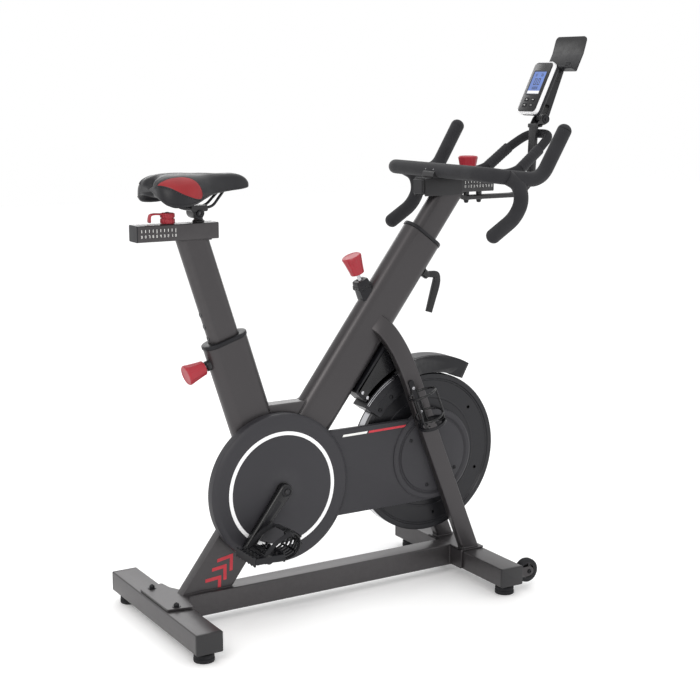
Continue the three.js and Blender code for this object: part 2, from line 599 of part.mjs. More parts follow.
function handlebarKnob() {
  const x = BAR_KNOB.x;
  const foot = BRACKET.top + 1;
  const bolt = rod([x, 0, SLIDE_TUBE.bottom + 14], [x, 0, foot + 1], 5, 12);
  return taperedKnob([x, 0, foot], [x, 0, foot + 100]).add(bolt);
}
part('handlebar_knob', handlebarKnob(), RED_PLASTIC);

// a flat bar hangs under the slide tube on two spacers, curves up in front and ends in two ears
function consoleSupportArm() {
  const middle = (ARM.bottom + ARM.top) / 2;
  const points = [[944, 0, middle], [1132, 0, middle], [1172, 0, 1092], [1176, 0, 1150], [1180, 0, 1246]];
  const flat = shapeOf([[-6, -ARM.half], [6, -ARM.half], [6, ARM.half], [-6, ARM.half]]);
  const bar = sweep(bentPath(points, 30), flat, 24, 1);
  const spacers = ARM.boltsX.map((x) => rod([x, 0, ARM.top - 1], [x, 0, SLIDE_TUBE.bottom - GAP], 8, 12));
  const heads = ARM.boltsX.map((x) => rod([x, 0, ARM.bottom + 1], [x, 0, ARM.bottom - 13], 7, 10));
  const head = box(1174, 1196, -19, 19, 1242, 1252);
  const ear = (y0, y1) => {
    const outline = new THREE.Shape();
    outline.moveTo(1178, 1244);
    outline.lineTo(1204, 1250);
    outline.absarc(PIVOT.x, PIVOT.z, 14, -Math.PI * 0.4, Math.PI * 0.85);
    return prism(outline, y0, y1, 6);
  };
  return union(bar, ...spacers, ...heads, head, ear(-19, -14), ear(14, 19));
}
part('console_support_arm', consoleSupportArm(), BLACK_PLASTIC);

// pieces of the console head are drawn upright at the pivot, then leaned back
function leaned(solid) {
  return solid.rotate([0, THREE.MathUtils.radToDeg(CONSOLE_TILT), 0]).translate(PIVOT.x, 0, PIVOT.z);
}
const STEM = { half: 12, bottom: 16, top: 145.5 };
const FACE = { bottom: -9, top: 145, half: 42, front: -60, back: -32 };
function consoleStem() {
  const eye = discY(0, 0, 12, -STEM.half, STEM.half, 20);
  const outline = shapeOf([[-6, 2], [11, 2], [12, STEM.bottom], [2, STEM.top], [-8, STEM.top], [1, STEM.bottom]]);
  const mount = box(FACE.back + GAP, 0, -14, 14, 40, 110);
  return leaned(union(eye, prism(outline, -STEM.half, STEM.half), mount));
}
part('console_stem', consoleStem(), BLACK_PLASTIC);

const BUTTONS = [[-14, 30], [14, 30], [-14, 13], [14, 13]];
function consoleCase() {
  const shape = roundedRectangle(2 * FACE.half, FACE.top - FACE.bottom, 14);
  const depth = FACE.back - FACE.front;
  const geometry = new THREE.ExtrudeGeometry(shape, { depth, bevelEnabled: false, curveSegments: 4 });
  geometry.rotateZ(Math.PI / 2).rotateY(Math.PI / 2).translate(FACE.front, 0, (FACE.bottom + FACE.top) / 2);
  let solid = toSolid(geometry);
  for (const [y, z] of BUTTONS) solid = solid.subtract(box(FACE.front - 1, FACE.front + 3.5, y - 8.3, y + 8.3, z - 5.3, z + 5.3));
  return leaned(solid);
}
part('console', consoleCase(), WHITE_PLASTIC);
BUTTONS.forEach(([y, z], i) => {
  const key = box(FACE.front - 1, FACE.front + 1.7, y - 8, y + 8, z - 5, z + 5);
  part(`console_button_${i + 1}`, leaned(key), BLACK_PLASTIC);
});

// a creased plate with a bottom ledge and two hooks
function tabletHolder() {
  const profile = shapeOf([
    [-22, 146], [2, 146], [2, 200], [-6, 248], [-9.5, 247.5], [-1.5, 199.5], [-1.5, 149.5], [-18.5, 149.5],
    [-18.5, 154], [-22, 154],
  ]);
  return leaned(prism(profile, -66, 66));
}
part('tablet_holder', tabletHolder(), BLACK_PLASTIC);

// ---------- levers and brake ----------
function heightLever() {
  const at = (across) => along(HEAD_LINE, LEVER_FROM_AXIS, TUBE.length / 2 + across);
  const [inside, base, tip] = [at(-10), at(GAP), at(22)];
  const stud = rod([inside.x, 0, inside.z], [base.x, 0, base.z], 5, 12);
  const hub = rod([base.x, 0, base.z], [tip.x, 0, tip.z], 12, 16, 10);
  const arm = sweep(bentPath([[tip.x - 10, 0, tip.z + 4], [862, 0, 840], [833, 0, 750]], 12), ovalShape(21, 14), 7, 3);
  return union(hub, stud, arm);
}
part('height_lever', heightLever(), BLACK_PLASTIC);

part('brake_knob', taperedKnob(onRod(ROD.knobFoot), onRod(rodLength + 50)), RED_PLASTIC);
part('brake_rod', rod(onRod(264.5), onRod(ROD.knobFoot - GAP), ROD.radius, 12), STEEL);

function arcBlock(inner, outer, from, to, y0, y1) {
  const shape = new THREE.Shape();
  shape.absarc(0, 0, outer, from, to);
  shape.absarc(0, 0, inner, to, from, true);
  return prism(shape, y0, y1, 12).translate(FLYWHEEL.x, 0, FLYWHEEL.z);
}
const rad = THREE.MathUtils.degToRad;

// the magnet carrier straddles the rim, and the brake rod pushes it inwards
function brakeCarrier() {
  const body = arcBlock(198, 258, rad(108), rad(144), -31, 31);
  return body.subtract(arcBlock(190, 227, rad(100), rad(156), -24, 24));
}
part('brake_carrier', brakeCarrier(), IRON);

function brakeHousing() {
  const lower = (distance) => along(HEAD_LINE, distance, TUBE.length / 2 + GAP);
  const [rear, front] = [lower(320), lower(478)];
  const shape = shapeOf([[rear.x, rear.z], [front.x, front.z], [front.x + 40, front.z - 70], [rear.x + 34, rear.z - 44]]);
  const clear = arcBlock(100, 262, rad(60), rad(200), -60, 60);
  return prism(shape, -29, 29).subtract(headEnvelope).subtract(clear).subtract(rodHole);
}
part('brake_housing', largest(brakeHousing()), BLACK_PLASTIC);

function brakeShroud() {
  const crown = arcBlock(225, 271, rad(61.5), rad(101), -31, 31);
  return crown.subtract(arcBlock(200, 267, rad(63.5), rad(104), -28, 28));
}
part('brake_shroud', brakeShroud(), BLACK_PLASTIC);

// ---------- drive ----------
function flywheel() {
  const { x, z, radius, near, far, hub } = FLYWHEEL;
  const rim = discY(x, z, radius, near, far, 52);
  const dishes = discY(x, z, radius - 30, near - 1, near + 15, 36).add(discY(x, z, radius - 30, far - 15, far + 1, 36));
  const boss = discY(x, z, 46, near, far, 28);
  const pulley = discY(x, z, hub, BELT.near - 1, near + 2, 28);
  const bore = discY(x, z, 10 + GAP, -60, 60, 20);
  return union(rim.subtract(dishes), boss, pulley).subtract(bore);
}
part('flywheel', flywheel(), IRON);
part('flywheel_axle', discY(FLYWHEEL.x, FLYWHEEL.z, 10, -67, 67, 20), STEEL);

const pulley = discY(CRANK_AXIS.x, CRANK_AXIS.z, BELT.driveRadius, BELT.near - 1, BELT.far + 1, 40);
part('drive_pulley', pulley.subtract(discY(CRANK_AXIS.x, CRANK_AXIS.z, 10 + GAP, -60, 0, 20)), BLACK_PLASTIC);
part('crank_axle', discY(CRANK_AXIS.x, CRANK_AXIS.z, 10, -CRANK.outer - 2, CRANK.outer + 2, 20), STEEL);

// the belt's outline wraps both pulleys, with straight runs between
function beltOutline(extra) {
  const dx = FLYWHEEL.x - CRANK_AXIS.x;
  const dz = FLYWHEEL.z - CRANK_AXIS.z;
  const [big, small] = [BELT.driveRadius + extra, FLYWHEEL.hub + extra];
  const lean = Math.atan2(dz, dx);
  const wrap = Math.acos((big - small) / Math.hypot(dx, dz));
  const shape = new THREE.Shape();
  shape.absarc(CRANK_AXIS.x, CRANK_AXIS.z, big, lean + wrap, lean - wrap + 2 * Math.PI);
  shape.absarc(FLYWHEEL.x, FLYWHEEL.z, small, lean - wrap, lean + wrap);
  return shape;
}
const beltSolid = prism(beltOutline(BELT.thickness + GAP), BELT.near, BELT.far, 20);
part('belt', beltSolid.subtract(prism(beltOutline(GAP), BELT.near - 1, BELT.far + 1, 20)), RUBBER);

// the case is open at the back, towards the frame
function beltGuard() {
  const hollowBy = (inset) => {
    const disc = discY(CRANK_AXIS.x, CRANK_AXIS.z, GUARD.radius - inset, GUARD.face + inset, GUARD.back + inset, 56);
    const arm = box(CRANK_AXIS.x, FLYWHEEL.x, GUARD.armFace + inset, GUARD.back + inset, 234 + inset, 468 - inset);
    const boss = discY(FLYWHEEL.x, FLYWHEEL.z, GUARD.bossRadius - inset, GUARD.armFace - 2 + inset, GUARD.back + inset, 40);
    return union(disc, arm, boss);
  };
  const axleHole = discY(CRANK_AXIS.x, CRANK_AXIS.z, 16, -80, -20, 24);
  const flywheelHole = discY(FLYWHEEL.x, FLYWHEEL.z, 12, -80, -20, 24);
  return hollowBy(0).subtract(hollowBy(GUARD.wall)).subtract(axleHole).subtract(flywheelHole);
}
part('belt_guard', beltGuard(), GUARD_PLASTIC);

function crank(angle, side) {
  const end = [CRANK_AXIS.x + CRANK.length * Math.cos(angle), CRANK_AXIS.z + CRANK.length * Math.sin(angle)];
  const arm = new THREE.Shape();
  arm.absarc(CRANK_AXIS.x, CRANK_AXIS.z, 19, angle + Math.PI / 2, angle + Math.PI * 1.5);
  arm.absarc(end[0], end[1], 13, angle - Math.PI / 2, angle + Math.PI / 2);
  const [y0, y1] = side < 0 ? [-CRANK.outer, -CRANK.inner] : [CRANK.inner, CRANK.outer];
  const solid = prism(arm, y0, y1, 8);
  const axleHole = discY(CRANK_AXIS.x, CRANK_AXIS.z, 10 + GAP, -100, 100, 20);
  const spindleHole = discY(end[0], end[1], 7 + GAP, -100, 100, 16);
  return solid.subtract(axleHole).subtract(spindleHole);
}
part('crank_right', crank(CRANK.angle, -1), BLACK_PLASTIC);
part('crank_left', crank(CRANK.angle + Math.PI, 1), BLACK_PLASTIC);

// a platform pedal with a toe cage, drawn for the left side around its spindle
function pedal() {
  const inner = CRANK.outer + 10;
  const outer = inner + 98;
  const spindle = discY(0, 0, 7, CRANK.inner + 2, outer - 4, 16);
  const body = box(-44, 44, inner, outer, -11, 11);
  const windows = union(box(-34, -14, inner + 12, outer - 12, -20, 20), box(14, 34, inner + 12, outer - 12, -20, 20));
  const side = new THREE.Shape();
  side.moveTo(36, -11);
  side.lineTo(72, -6);
  side.quadraticCurveTo(100, 4, 96, 34);
  side.quadraticCurveTo(90, 52, 62, 56);
  side.lineTo(60, 50);
  side.quadraticCurveTo(84, 46, 89, 33);
  side.quadraticCurveTo(92, 10, 70, 0);
  side.lineTo(36, -3);
  const cage = prism(side, inner + 8, outer - 8, 6).subtract(box(66, 120, inner + 24, outer - 24, -2, 44));
  return union(spindle, body.subtract(windows), cage);
}
function placedPedal(angle) {
  return pedal().translate(
    CRANK_AXIS.x + CRANK.length * Math.cos(angle), 0, CRANK_AXIS.z + CRANK.length * Math.sin(angle),
  );
}
part('pedal_left', placedPedal(CRANK.angle + Math.PI), BLACK_PLASTIC);
part('pedal_right', mirrorY(placedPedal(CRANK.angle)), BLACK_PLASTIC);

// a wire cage on a back plate, screwed to the outside of the right fork leg
function bottleCage() {
  const plate = box(-6, 6, -4, 0, -70, 60);
  const ring = (z, tilt) => {
    const outer = rod([0, -42, z], [0, -42, z + 8], 40, 24);
    return outer.subtract(rod([0, -42, z - 1], [0, -42, z + 9], 36, 24)).rotate([tilt, 0, 0]);
  };
  const cup = rod([0, -42, -72], [0, -42, -66], 40, 24).subtract(rod([0, -42, -80], [0, -42, -60], 26, 24));
  const posts = [-1, 1].map((side) => box(side * 33 - 3, side * 33 + 3, -66, -58, -70, 28));
  return union(plate, ring(22, 0), cup, ...posts);
}
const cageAt = { x: 744, z: 532 };
const cageY = -FORK.y - FORK.thickness / 2 - GAP;
part('bottle_cage', bottleCage().rotate([0, -21.3, 0]).translate(cageAt.x, cageY, cageAt.z), BLACK_PLASTIC);

export default bike;
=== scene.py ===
"""Looks of the indoor spin bike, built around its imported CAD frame."""
import math
import bmesh
import bpy
import numpy as np
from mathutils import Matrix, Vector


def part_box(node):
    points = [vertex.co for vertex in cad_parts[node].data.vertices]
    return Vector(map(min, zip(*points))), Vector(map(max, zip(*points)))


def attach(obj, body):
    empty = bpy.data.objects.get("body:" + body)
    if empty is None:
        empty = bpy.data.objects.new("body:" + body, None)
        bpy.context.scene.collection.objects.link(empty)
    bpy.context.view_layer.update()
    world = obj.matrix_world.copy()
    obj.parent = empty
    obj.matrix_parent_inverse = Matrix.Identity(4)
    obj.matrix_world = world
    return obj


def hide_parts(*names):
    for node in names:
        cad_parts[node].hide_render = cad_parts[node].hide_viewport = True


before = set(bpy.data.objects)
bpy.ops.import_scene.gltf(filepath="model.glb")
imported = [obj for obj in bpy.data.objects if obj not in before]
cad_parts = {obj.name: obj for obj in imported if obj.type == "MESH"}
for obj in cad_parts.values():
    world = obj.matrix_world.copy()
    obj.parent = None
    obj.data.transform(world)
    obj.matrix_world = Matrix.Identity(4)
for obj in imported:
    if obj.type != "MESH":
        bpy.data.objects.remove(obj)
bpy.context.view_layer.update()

# Lengths below are in millimetres, measured forward from the rear end of the base.
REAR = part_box("rear_stabilizer")[0].x * 1000
SIDES = {"right": -1, "left": 1}


def spot(x, y, z):
    """A point in the row's frame, in metres."""
    return np.array([REAR + x, y, z], float) / 1000


# ---------------------------------------------------------------- materials
def feed(node, inputs):
    """Sets a node's inputs to values, or joins them to the outputs of other nodes."""
    for key, value in inputs.items():
        if isinstance(value, bpy.types.NodeSocket):
            node.id_data.links.new(value, node.inputs[key])
        else:
            node.inputs[key].default_value = value
    return node


def finish_of(name, color, rough, metal=0.0, grain=(900, 0.1), mottle=(14, 0.12), coat=0.0, wear=0.0,
              wear_color=(0.4, 0.4, 0.4), rough_spread=0.06, sheen=0.0, specular=0.5, pits=0.0):
    """A finish with fine grain, slow colour variation, uneven gloss and worn edges."""
    mat = bpy.data.materials.new(name)
    mat.use_nodes = True
    tree = mat.node_tree

    def add(kind, inputs):
        return feed(tree.nodes.new("ShaderNode" + kind), inputs)

    place = add("TexCoord", {}).outputs["Object"]

    def noise(scale, detail):
        return add("TexNoise", {"Scale": scale, "Detail": detail, "Roughness": 0.55,
            "Vector": place}).outputs["Fac"]

    ramp = add("ValToRGB", {"Fac": noise(mottle[0], 4.0)})
    for mark, at, sign in zip(ramp.color_ramp.elements, (0.3, 0.7), (-1, 1)):
        mark.position = at
        mark.color = (*(c * (1 + sign * mottle[1]) for c in color), 1)
    base = ramp.outputs["Color"]
    if wear:
        edge = add("MapRange", {"From Min": 0.57, "From Max": 0.7, "To Max": wear,
            "Value": add("NewGeometry", {}).outputs["Pointiness"]})
        scuff = add("Math", {0: edge.outputs["Result"], 1: noise(70, 5.0)})
        scuff.operation = "MULTIPLY"
        mix = tree.nodes.new("ShaderNodeMix")
        mix.data_type = "RGBA"
        feed(mix, {"Factor": scuff.outputs[0], "A": base, "B": (*wear_color, 1)})
        base = mix.outputs["Result"]
    gloss = add("MapRange", {"To Min": max(0.02, rough - rough_spread), "To Max": rough + rough_spread,
        "Value": noise(45, 5.0)})
    height = noise(grain[0], 2.0)
    if pits:
        cells = add("TexVoronoi", {"Scale": pits, "Vector": place})
        height = add("Math", {0: height, 1: cells.outputs["Distance"]}).outputs[0]
    bump = add("Bump", {"Strength": grain[1], "Distance": 0.0004, "Height": height})
    feed(tree.nodes["Principled BSDF"], {"Base Color": base, "Metallic": metal,
        "Roughness": gloss.outputs["Result"], "Normal": bump.outputs["Normal"], "Coat Weight": coat,
        "Coat Roughness": 0.12, "Sheen Weight": sheen, "Specular IOR Level": specular})
    return mat


FRAME = finish_of("frame_coat", (0.05, 0.0465, 0.0485), 0.36, 0.6, (700, 0.04), (4, 0.03), coat=0.06,
    wear=0.25, rough_spread=0.02)
DARK = finish_of("dark_coat", (0.02, 0.0195, 0.021), 0.42, 0.3, (700, 0.06), (7, 0.06), coat=0.05, wear=0.3,
    rough_spread=0.03)
GUARD = finish_of("guard_plastic", (0.03, 0.0292, 0.0335), 0.48, 0.0, (800, 0.06), (4, 0.03), wear=0.25,
    specular=0.3, rough_spread=0.025)
RING = finish_of("ring_white", (0.9, 0.9, 0.91), 0.3, 0.0, (500, 0.03), (20, 0.02))
BLACK = finish_of("black_plastic", (0.007, 0.007, 0.009), 0.42, 0.0, (900, 0.08), (15, 0.15), wear=0.25,
    specular=0.3)
GLOSSY = finish_of("gloss_black", (0.006, 0.006, 0.007), 0.27, 0.0, (400, 0.01), (18, 0.1), coat=0.0,
    wear=0.25, specular=0.4)
RED = finish_of("red_plastic", (0.33, 0.02, 0.032), 0.36, 0.0, (900, 0.12), (25, 0.06), wear=0.3,
    wear_color=(0.6, 0.16, 0.17), specular=0.35)
WHITE = finish_of("shell_white", (0.8, 0.8, 0.81), 0.25, 0.0, (700, 0.04), (16, 0.02), coat=0.2)
PRINT = finish_of("print_white", (0.8, 0.8, 0.78), 0.5, 0.0, (800, 0.1), (60, 0.08))
PRINT_RED = finish_of("print_red", (0.5, 0.035, 0.05), 0.45, 0.0, (800, 0.1), (60, 0.1), specular=0.3)
RUBBER = finish_of("rubber", (0.012, 0.012, 0.014), 0.75, 0.0, (600, 0.2), (30, 0.2), wear=0.2, specular=0.3)
FOAM = finish_of("foam", (0.018, 0.018, 0.0205), 0.82, 0.0, (420, 0.3), (24, 0.14), sheen=0.08, pits=900,
    specular=0.3)
IRON = finish_of("cast_iron", (0.012, 0.012, 0.0145), 0.36, 0.4, (650, 0.07), (6, 0.06), coat=0.06, wear=0.3,
    rough_spread=0.03)
STEEL = finish_of("bright_steel", (0.5, 0.5, 0.52), 0.2, 1.0, (1400, 0.12), (30, 0.08))
BOLT = finish_of("black_bolt", (0.012, 0.012, 0.014), 0.3, 0.6, (900, 0.2), (40, 0.2), wear=0.5)
RAIL = finish_of("rail_coat", (0.012, 0.012, 0.014), 0.28, 0.4, (700, 0.08), (20, 0.15), wear=0.4)
LEATHER = finish_of("black_leather", (0.0065, 0.0065, 0.0085), 0.42, 0.0, (520, 0.25), (30, 0.12), sheen=0.04,
    pits=650, specular=0.35)
LEATHER_RED = finish_of("red_leather", (0.25, 0.014, 0.018), 0.42, 0.0, (520, 0.25), (30, 0.08), pits=650,
    specular=0.3)
THREAD = finish_of("thread", (0.035, 0.035, 0.04), 0.7, 0.0, (2500, 0.5), (80, 0.3), sheen=0.2)
BELT = finish_of("belt_rubber", (0.012, 0.012, 0.012), 0.7, 0.0, (900, 0.4), (40, 0.2))
SCREEN = finish_of("screen", (0.07, 0.13, 0.36), 0.12, 0.0, (900, 0.02), (22, 0.12), coat=0.5)
screen_ramp = next(node for node in SCREEN.node_tree.nodes if node.type == "VALTORGB")
feed(SCREEN.node_tree.nodes["Principled BSDF"], {"Emission Color": screen_ramp.outputs["Color"],
    "Emission Strength": 0.4})


# ---------------------------------------------------------------- meshes
def smooth_by_angle(mesh, degrees):
    edges = bmesh.new()
    edges.from_mesh(mesh)
    bmesh.ops.remove_doubles(edges, verts=edges.verts, dist=1e-6)
    bmesh.ops.recalc_face_normals(edges, faces=edges.faces)
    for face in edges.faces:
        face.smooth = True
    limit = math.radians(degrees)
    for edge in edges.edges:
        edge.smooth = len(edge.link_faces) != 2 or edge.calc_face_angle(0) < limit
    edges.to_mesh(mesh)
    edges.free()


def piece(name, parts, body, mat, node=None, bevel=0.0, levels=0, sharp=32):
    """One object from one (vertices, faces) pair or a list of them, riding on a body."""
    verts, faces = [], []
    for v, f in [parts] if isinstance(parts, tuple) else parts:
        start = len(verts)
        verts += [tuple(p) for p in v]
        faces += [[i + start for i in face] for face in f]
    mesh = bpy.data.meshes.new(name)
    mesh.from_pydata(verts, [], faces)
    smooth_by_angle(mesh, sharp)
    obj = bpy.data.objects.new(name, mesh)
    bpy.context.scene.collection.objects.link(obj)
    mesh.materials.append(mat)
    if bevel:
        mod = obj.modifiers.new("edges", "BEVEL")
        mod.width = bevel / 1000
        mod.segments = 3
        mod.limit_method = "ANGLE"
        mod.angle_limit = math.radians(35)
        mod.harden_normals = True
    if levels:
        mod = obj.modifiers.new("smooth", "SUBSURF")
        mod.levels = mod.render_levels = levels
    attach(obj, body)
    if node:
        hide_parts(node)
    return obj


def rings_to_mesh(rings, cap=True, loop=False):
    """A skin over equal-length rings of points."""
    rings = np.array(rings)
    rows, cols = rings.shape[:2]
    faces = []
    for i in range(rows if loop else rows - 1):
        a, b = i * cols, ((i + 1) % rows) * cols
        for j in range(cols):
            k = (j + 1) % cols
            faces.append([a + j, a + k, b + k, b + j])
    if cap and not loop:
        faces.append(list(range(cols))[::-1])
        faces.append([(rows - 1) * cols + j for j in range(cols)])
    return rings.reshape(-1, 3), faces


def rounded(corners, radius, per_corner=5):
    """A closed 2-D outline with rounded corners; radius may be one number or one for each corner."""
    pts = [np.array(c, float) for c in corners]
    radii = [radius] * len(pts) if np.isscalar(radius) else radius
    out = []
    for i, p in enumerate(pts):
        a, b = pts[i - 1] - p, pts[(i + 1) % len(pts)] - p
        la, lb = np.linalg.norm(a), np.linalg.norm(b)
        a, b = a / la, b / lb
        half = math.acos(np.clip(a @ b, -1, 1)) / 2
        cut = min(radii[i] / math.tan(half), la * 0.49, lb * 0.49)
        if cut < 1e-6:
            out.append(p)
            continue
        r = cut * math.tan(half)
        centre = p + (a + b) / np.linalg.norm(a + b) * (r / math.sin(half))
        start, end = p + a * cut - centre, p + b * cut - centre
        swing = math.acos(np.clip(start @ end / (r * r), -1, 1))
        sign = 1 if start[0] * end[1] - start[1] * end[0] > 0 else -1
        for k in range(per_corner + 1):
            t = sign * swing * k / per_corner
            c, s = math.cos(t), math.sin(t)
            out.append(centre + np.array([start[0] * c - start[1] * s, start[0] * s + start[1] * c]))
    return np.array(out)


def rectangle(u0, u1, v0, v1, radius, per_corner=5):
    """A rectangle's outline with rounded corners."""
    return rounded([(u0, v0), (u1, v0), (u1, v1), (u0, v1)], radius, per_corner)


def circle(radius, count=32):
    t = np.linspace(0, 2 * math.pi, count, endpoint=False)
    return np.stack([np.cos(t), np.sin(t)], 1) * radius


def extruded(outline, place, low, high):
    """A 2-D outline made solid; place maps (u, v, w) to a point."""
    return rings_to_mesh([[place(u, v, w) for u, v in outline] for w in (low, high)])


def in_side_view(u, v, w):
    return spot(u, w, v)


def in_end_view(u, v, w):
    return spot(w, u, v)


def slab(x0, x1, y0, y1, z0, z1):
    return extruded([(x0, y0), (x1, y0), (x1, y1), (x0, y1)], spot, z0, z1)


def frame_about(axis, upright=(0, 0, 1)):
    """A unit vector along an axis, and two square to it."""
    axis = np.array(axis, float)
    axis /= np.linalg.norm(axis)
    side = np.cross(axis, upright if abs(axis @ upright) < 0.9 else [1, 0, 0])
    side /= np.linalg.norm(side)
    return axis, side, np.cross(axis, side)


def turned(radius_at, stops, foot, axes, count):
    """Rings about an axis, from (radius, distance) stops; radius_at gives the radius at an angle."""
    axis, side, other = axes
    rings = []
    for stop in stops:
        ring = []
        for t in np.linspace(0, 2 * math.pi, count, endpoint=False):
            away = (side * math.cos(t) + other * math.sin(t)) * radius_at(t, stop)
            ring.append(spot(*(np.array(foot, float) + axis * stop[1] + away)))
        rings.append(ring)
    return rings


def lathe(profile, foot, axis, count=48):
    """Turns (radius, distance) pairs about an axis; the profile starts and ends on the axis."""
    return rings_to_mesh(turned(lambda t, stop: max(stop[0], 1e-4), profile, foot, frame_about(axis), count))


def hollow_lathe(profile, foot, axis, count=48):
    """Turns (radius, distance) pairs about an axis; the profile closes on itself."""
    return rings_to_mesh(turned(lambda t, stop: stop[0], profile, foot, frame_about(axis), count), loop=True)


def both_sides(half, middle=()):
    """A profile that is the same on both sides of its middle, from the half with distances below zero."""
    return [*half, *middle, *((r, -h) for r, h in half[::-1])]


def curve_through(points, per_span=10):
    """A centripetal Catmull-Rom curve through the points."""
    p = [np.array(q, float) for q in points]
    p = [2 * p[0] - p[1]] + p + [2 * p[-1] - p[-2]]
    out = []
    for i in range(1, len(p) - 2):
        a, b, c, d = p[i - 1:i + 3]
        t0, t1 = 0, np.linalg.norm(b - a) ** 0.5
        t2 = t1 + np.linalg.norm(c - b) ** 0.5
        t3 = t2 + np.linalg.norm(d - c) ** 0.5
        for t in np.linspace(t1, t2, per_span, endpoint=False):
            e = (t1 - t) / (t1 - t0) * a + (t - t0) / (t1 - t0) * b
            f = (t2 - t) / (t2 - t1) * b + (t - t1) / (t2 - t1) * c
            g = (t3 - t) / (t3 - t2) * c + (t - t2) / (t3 - t2) * d
            h = (t2 - t) / (t2 - t0) * e + (t - t0) / (t2 - t0) * f
            k = (t3 - t) / (t3 - t1) * f + (t - t1) / (t3 - t1) * g
            out.append((t2 - t) / (t2 - t1) * h + (t - t1) / (t2 - t1) * k)
    out.append(p[-2])
    return np.array(out)


def bent(points, radius, per_corner=10, straight=4):
    """Straight runs joined by smooth corners."""
    p = [np.array(q, float) for q in points]
    out = [p[0]]
    for i in range(1, len(p) - 1):
        a, b = p[i - 1] - p[i], p[i + 1] - p[i]
        cut = min(radius, np.linalg.norm(a) / 2.05, np.linalg.norm(b) / 2.05)
        start, end = p[i] + a / np.linalg.norm(a) * cut, p[i] + b / np.linalg.norm(b) * cut
        for t in np.linspace(0, 1, straight, endpoint=False)[1:]:
            out.append(out[-1] + (start - out[-1]) * t)
        for t in np.linspace(0, 1, per_corner):
            out.append((1 - t) ** 2 * start + 2 * t * (1 - t) * p[i] + t * t * end)
    out.append(p[-1])
    keep = [out[0]]
    for q in out[1:]:
        if np.linalg.norm(q - keep[-1]) > 1e-3:
            keep.append(q)
    return np.array(keep)


def swept(path, section, scale=None, up=(0, 1, 0), loop=False):
    """Carries a 2-D section along a path. Its first axis stays as near to up as the path allows."""
    path = np.array(path, float)
    count = len(path)
    rings = []
    for i, p in enumerate(path):
        if loop:
            tangent = path[(i + 1) % count] - path[i - 1]
        else:
            tangent = path[min(i + 1, count - 1)] - path[max(i - 1, 0)]
        tangent = tangent / np.linalg.norm(tangent)
        first = np.array(up, float) - tangent * (np.array(up, float) @ tangent)
        first /= np.linalg.norm(first)
        second = np.cross(tangent, first)
        k = 1 if scale is None else scale[i]
        rings.append([spot(*(p + first * u * k + second * v * k)) for u, v in section])
    return rings_to_mesh(rings, loop=loop)


def hose(path, radius, sides=24, dome_start=False, dome_end=False, up=(0, 1, 0.01)):
    """A round bar along a path, with rounded ends where asked."""
    path = np.array(path, float)
    scale = [1.0] * len(path)
    quarter = np.linspace(0, math.pi / 2, 8)[1:]

    def with_dome(path, scale):
        outward = (path[-1] - path[-2]) / np.linalg.norm(path[-1] - path[-2])
        tip = [path[-1] + outward * radius * (math.sin(t) - 1) * 0.9 for t in quarter]
        cut = path[-1] - outward * radius * 0.9
        return np.vstack([path[:-1], [cut], tip]), scale + [max(math.cos(t), 0.02) for t in quarter]

    if dome_end:
        path, scale = with_dome(path, scale)
    if dome_start:
        path, scale = with_dome(path[::-1], scale[::-1])
        path, scale = path[::-1], scale[::-1]
    return swept(path, circle(radius, sides), scale, up=up)


def along(foot, tilt, distance, across=0.0):
    """A side-view point at a distance along a leaning line, and at an offset across it."""
    return np.array([foot[0] + distance * math.sin(tilt) + across * math.cos(tilt), foot[1]
        + distance * math.cos(tilt) - across * math.sin(tilt)])


def around(centre, radius, angle, y=None):
    """A side-view point at a radius and an angle about a centre, or a full point where y is given."""
    x, z = centre[0] + radius * math.cos(angle), centre[1] + radius * math.sin(angle)
    return (x, z) if y is None else (x, y, z)


CRANK = (344, 337)
HEAD = (CRANK, math.radians(36.6))
SEAT = ((341, 337), math.radians(-17.8))
WHEEL = (819, 363)
CRANK_AXLE, WHEEL_AXLE = (344, 0, 337), (819, 0, 363)
TO_LEFT, UP = (0, 1, 0), (0, 0, 1)


def bolt_head(at, axis, radius, height, washer=0.0):
    """A domed socket-head bolt, with a washer where asked."""
    base, lift = [(0, 0), (radius, 0)], 0
    if washer:
        base = [(0, 0), (washer, 0), (washer, 1.2), (washer - 0.4, 1.6), (radius * 1.02, 1.6)]
        lift = 1.6
    dome = [(1, 0.35), (0.9, 0.72), (0.68, 0.94), (0.45, 1), (0.45, 0.5), (0, 0.5)]
    return lathe(base + [(radius * r, lift + height * h) for r, h in dome], at, axis, 20)


def fastener(name, at, axis, radius, height, body="frame", mat=None, washer=0.0):
    return piece(name, bolt_head(at, axis, radius, height, washer), body, mat or BOLT)


def trimmed(part, at, normal):
    """Cuts a closed part on a plane and drops what lies on the normal's side."""
    verts, faces = part
    mesh = bmesh.new()
    made = [mesh.verts.new(tuple(v)) for v in verts]
    for face in faces:
        mesh.faces.new([made[i] for i in face])
    geom = mesh.verts[:] + mesh.edges[:] + mesh.faces[:]
    cut = bmesh.ops.bisect_plane(mesh, geom=geom, plane_co=tuple(spot(*at)), plane_no=normal,
        clear_outer=True)
    bmesh.ops.edgeloop_fill(mesh, edges=[e for e in cut["geom_cut"] if isinstance(e, bmesh.types.BMEdge)])
    mesh.verts.index_update()
    out = ([np.array(v.co) for v in mesh.verts], [[v.index for v in f.verts] for f in mesh.faces])
    mesh.free()
    return out


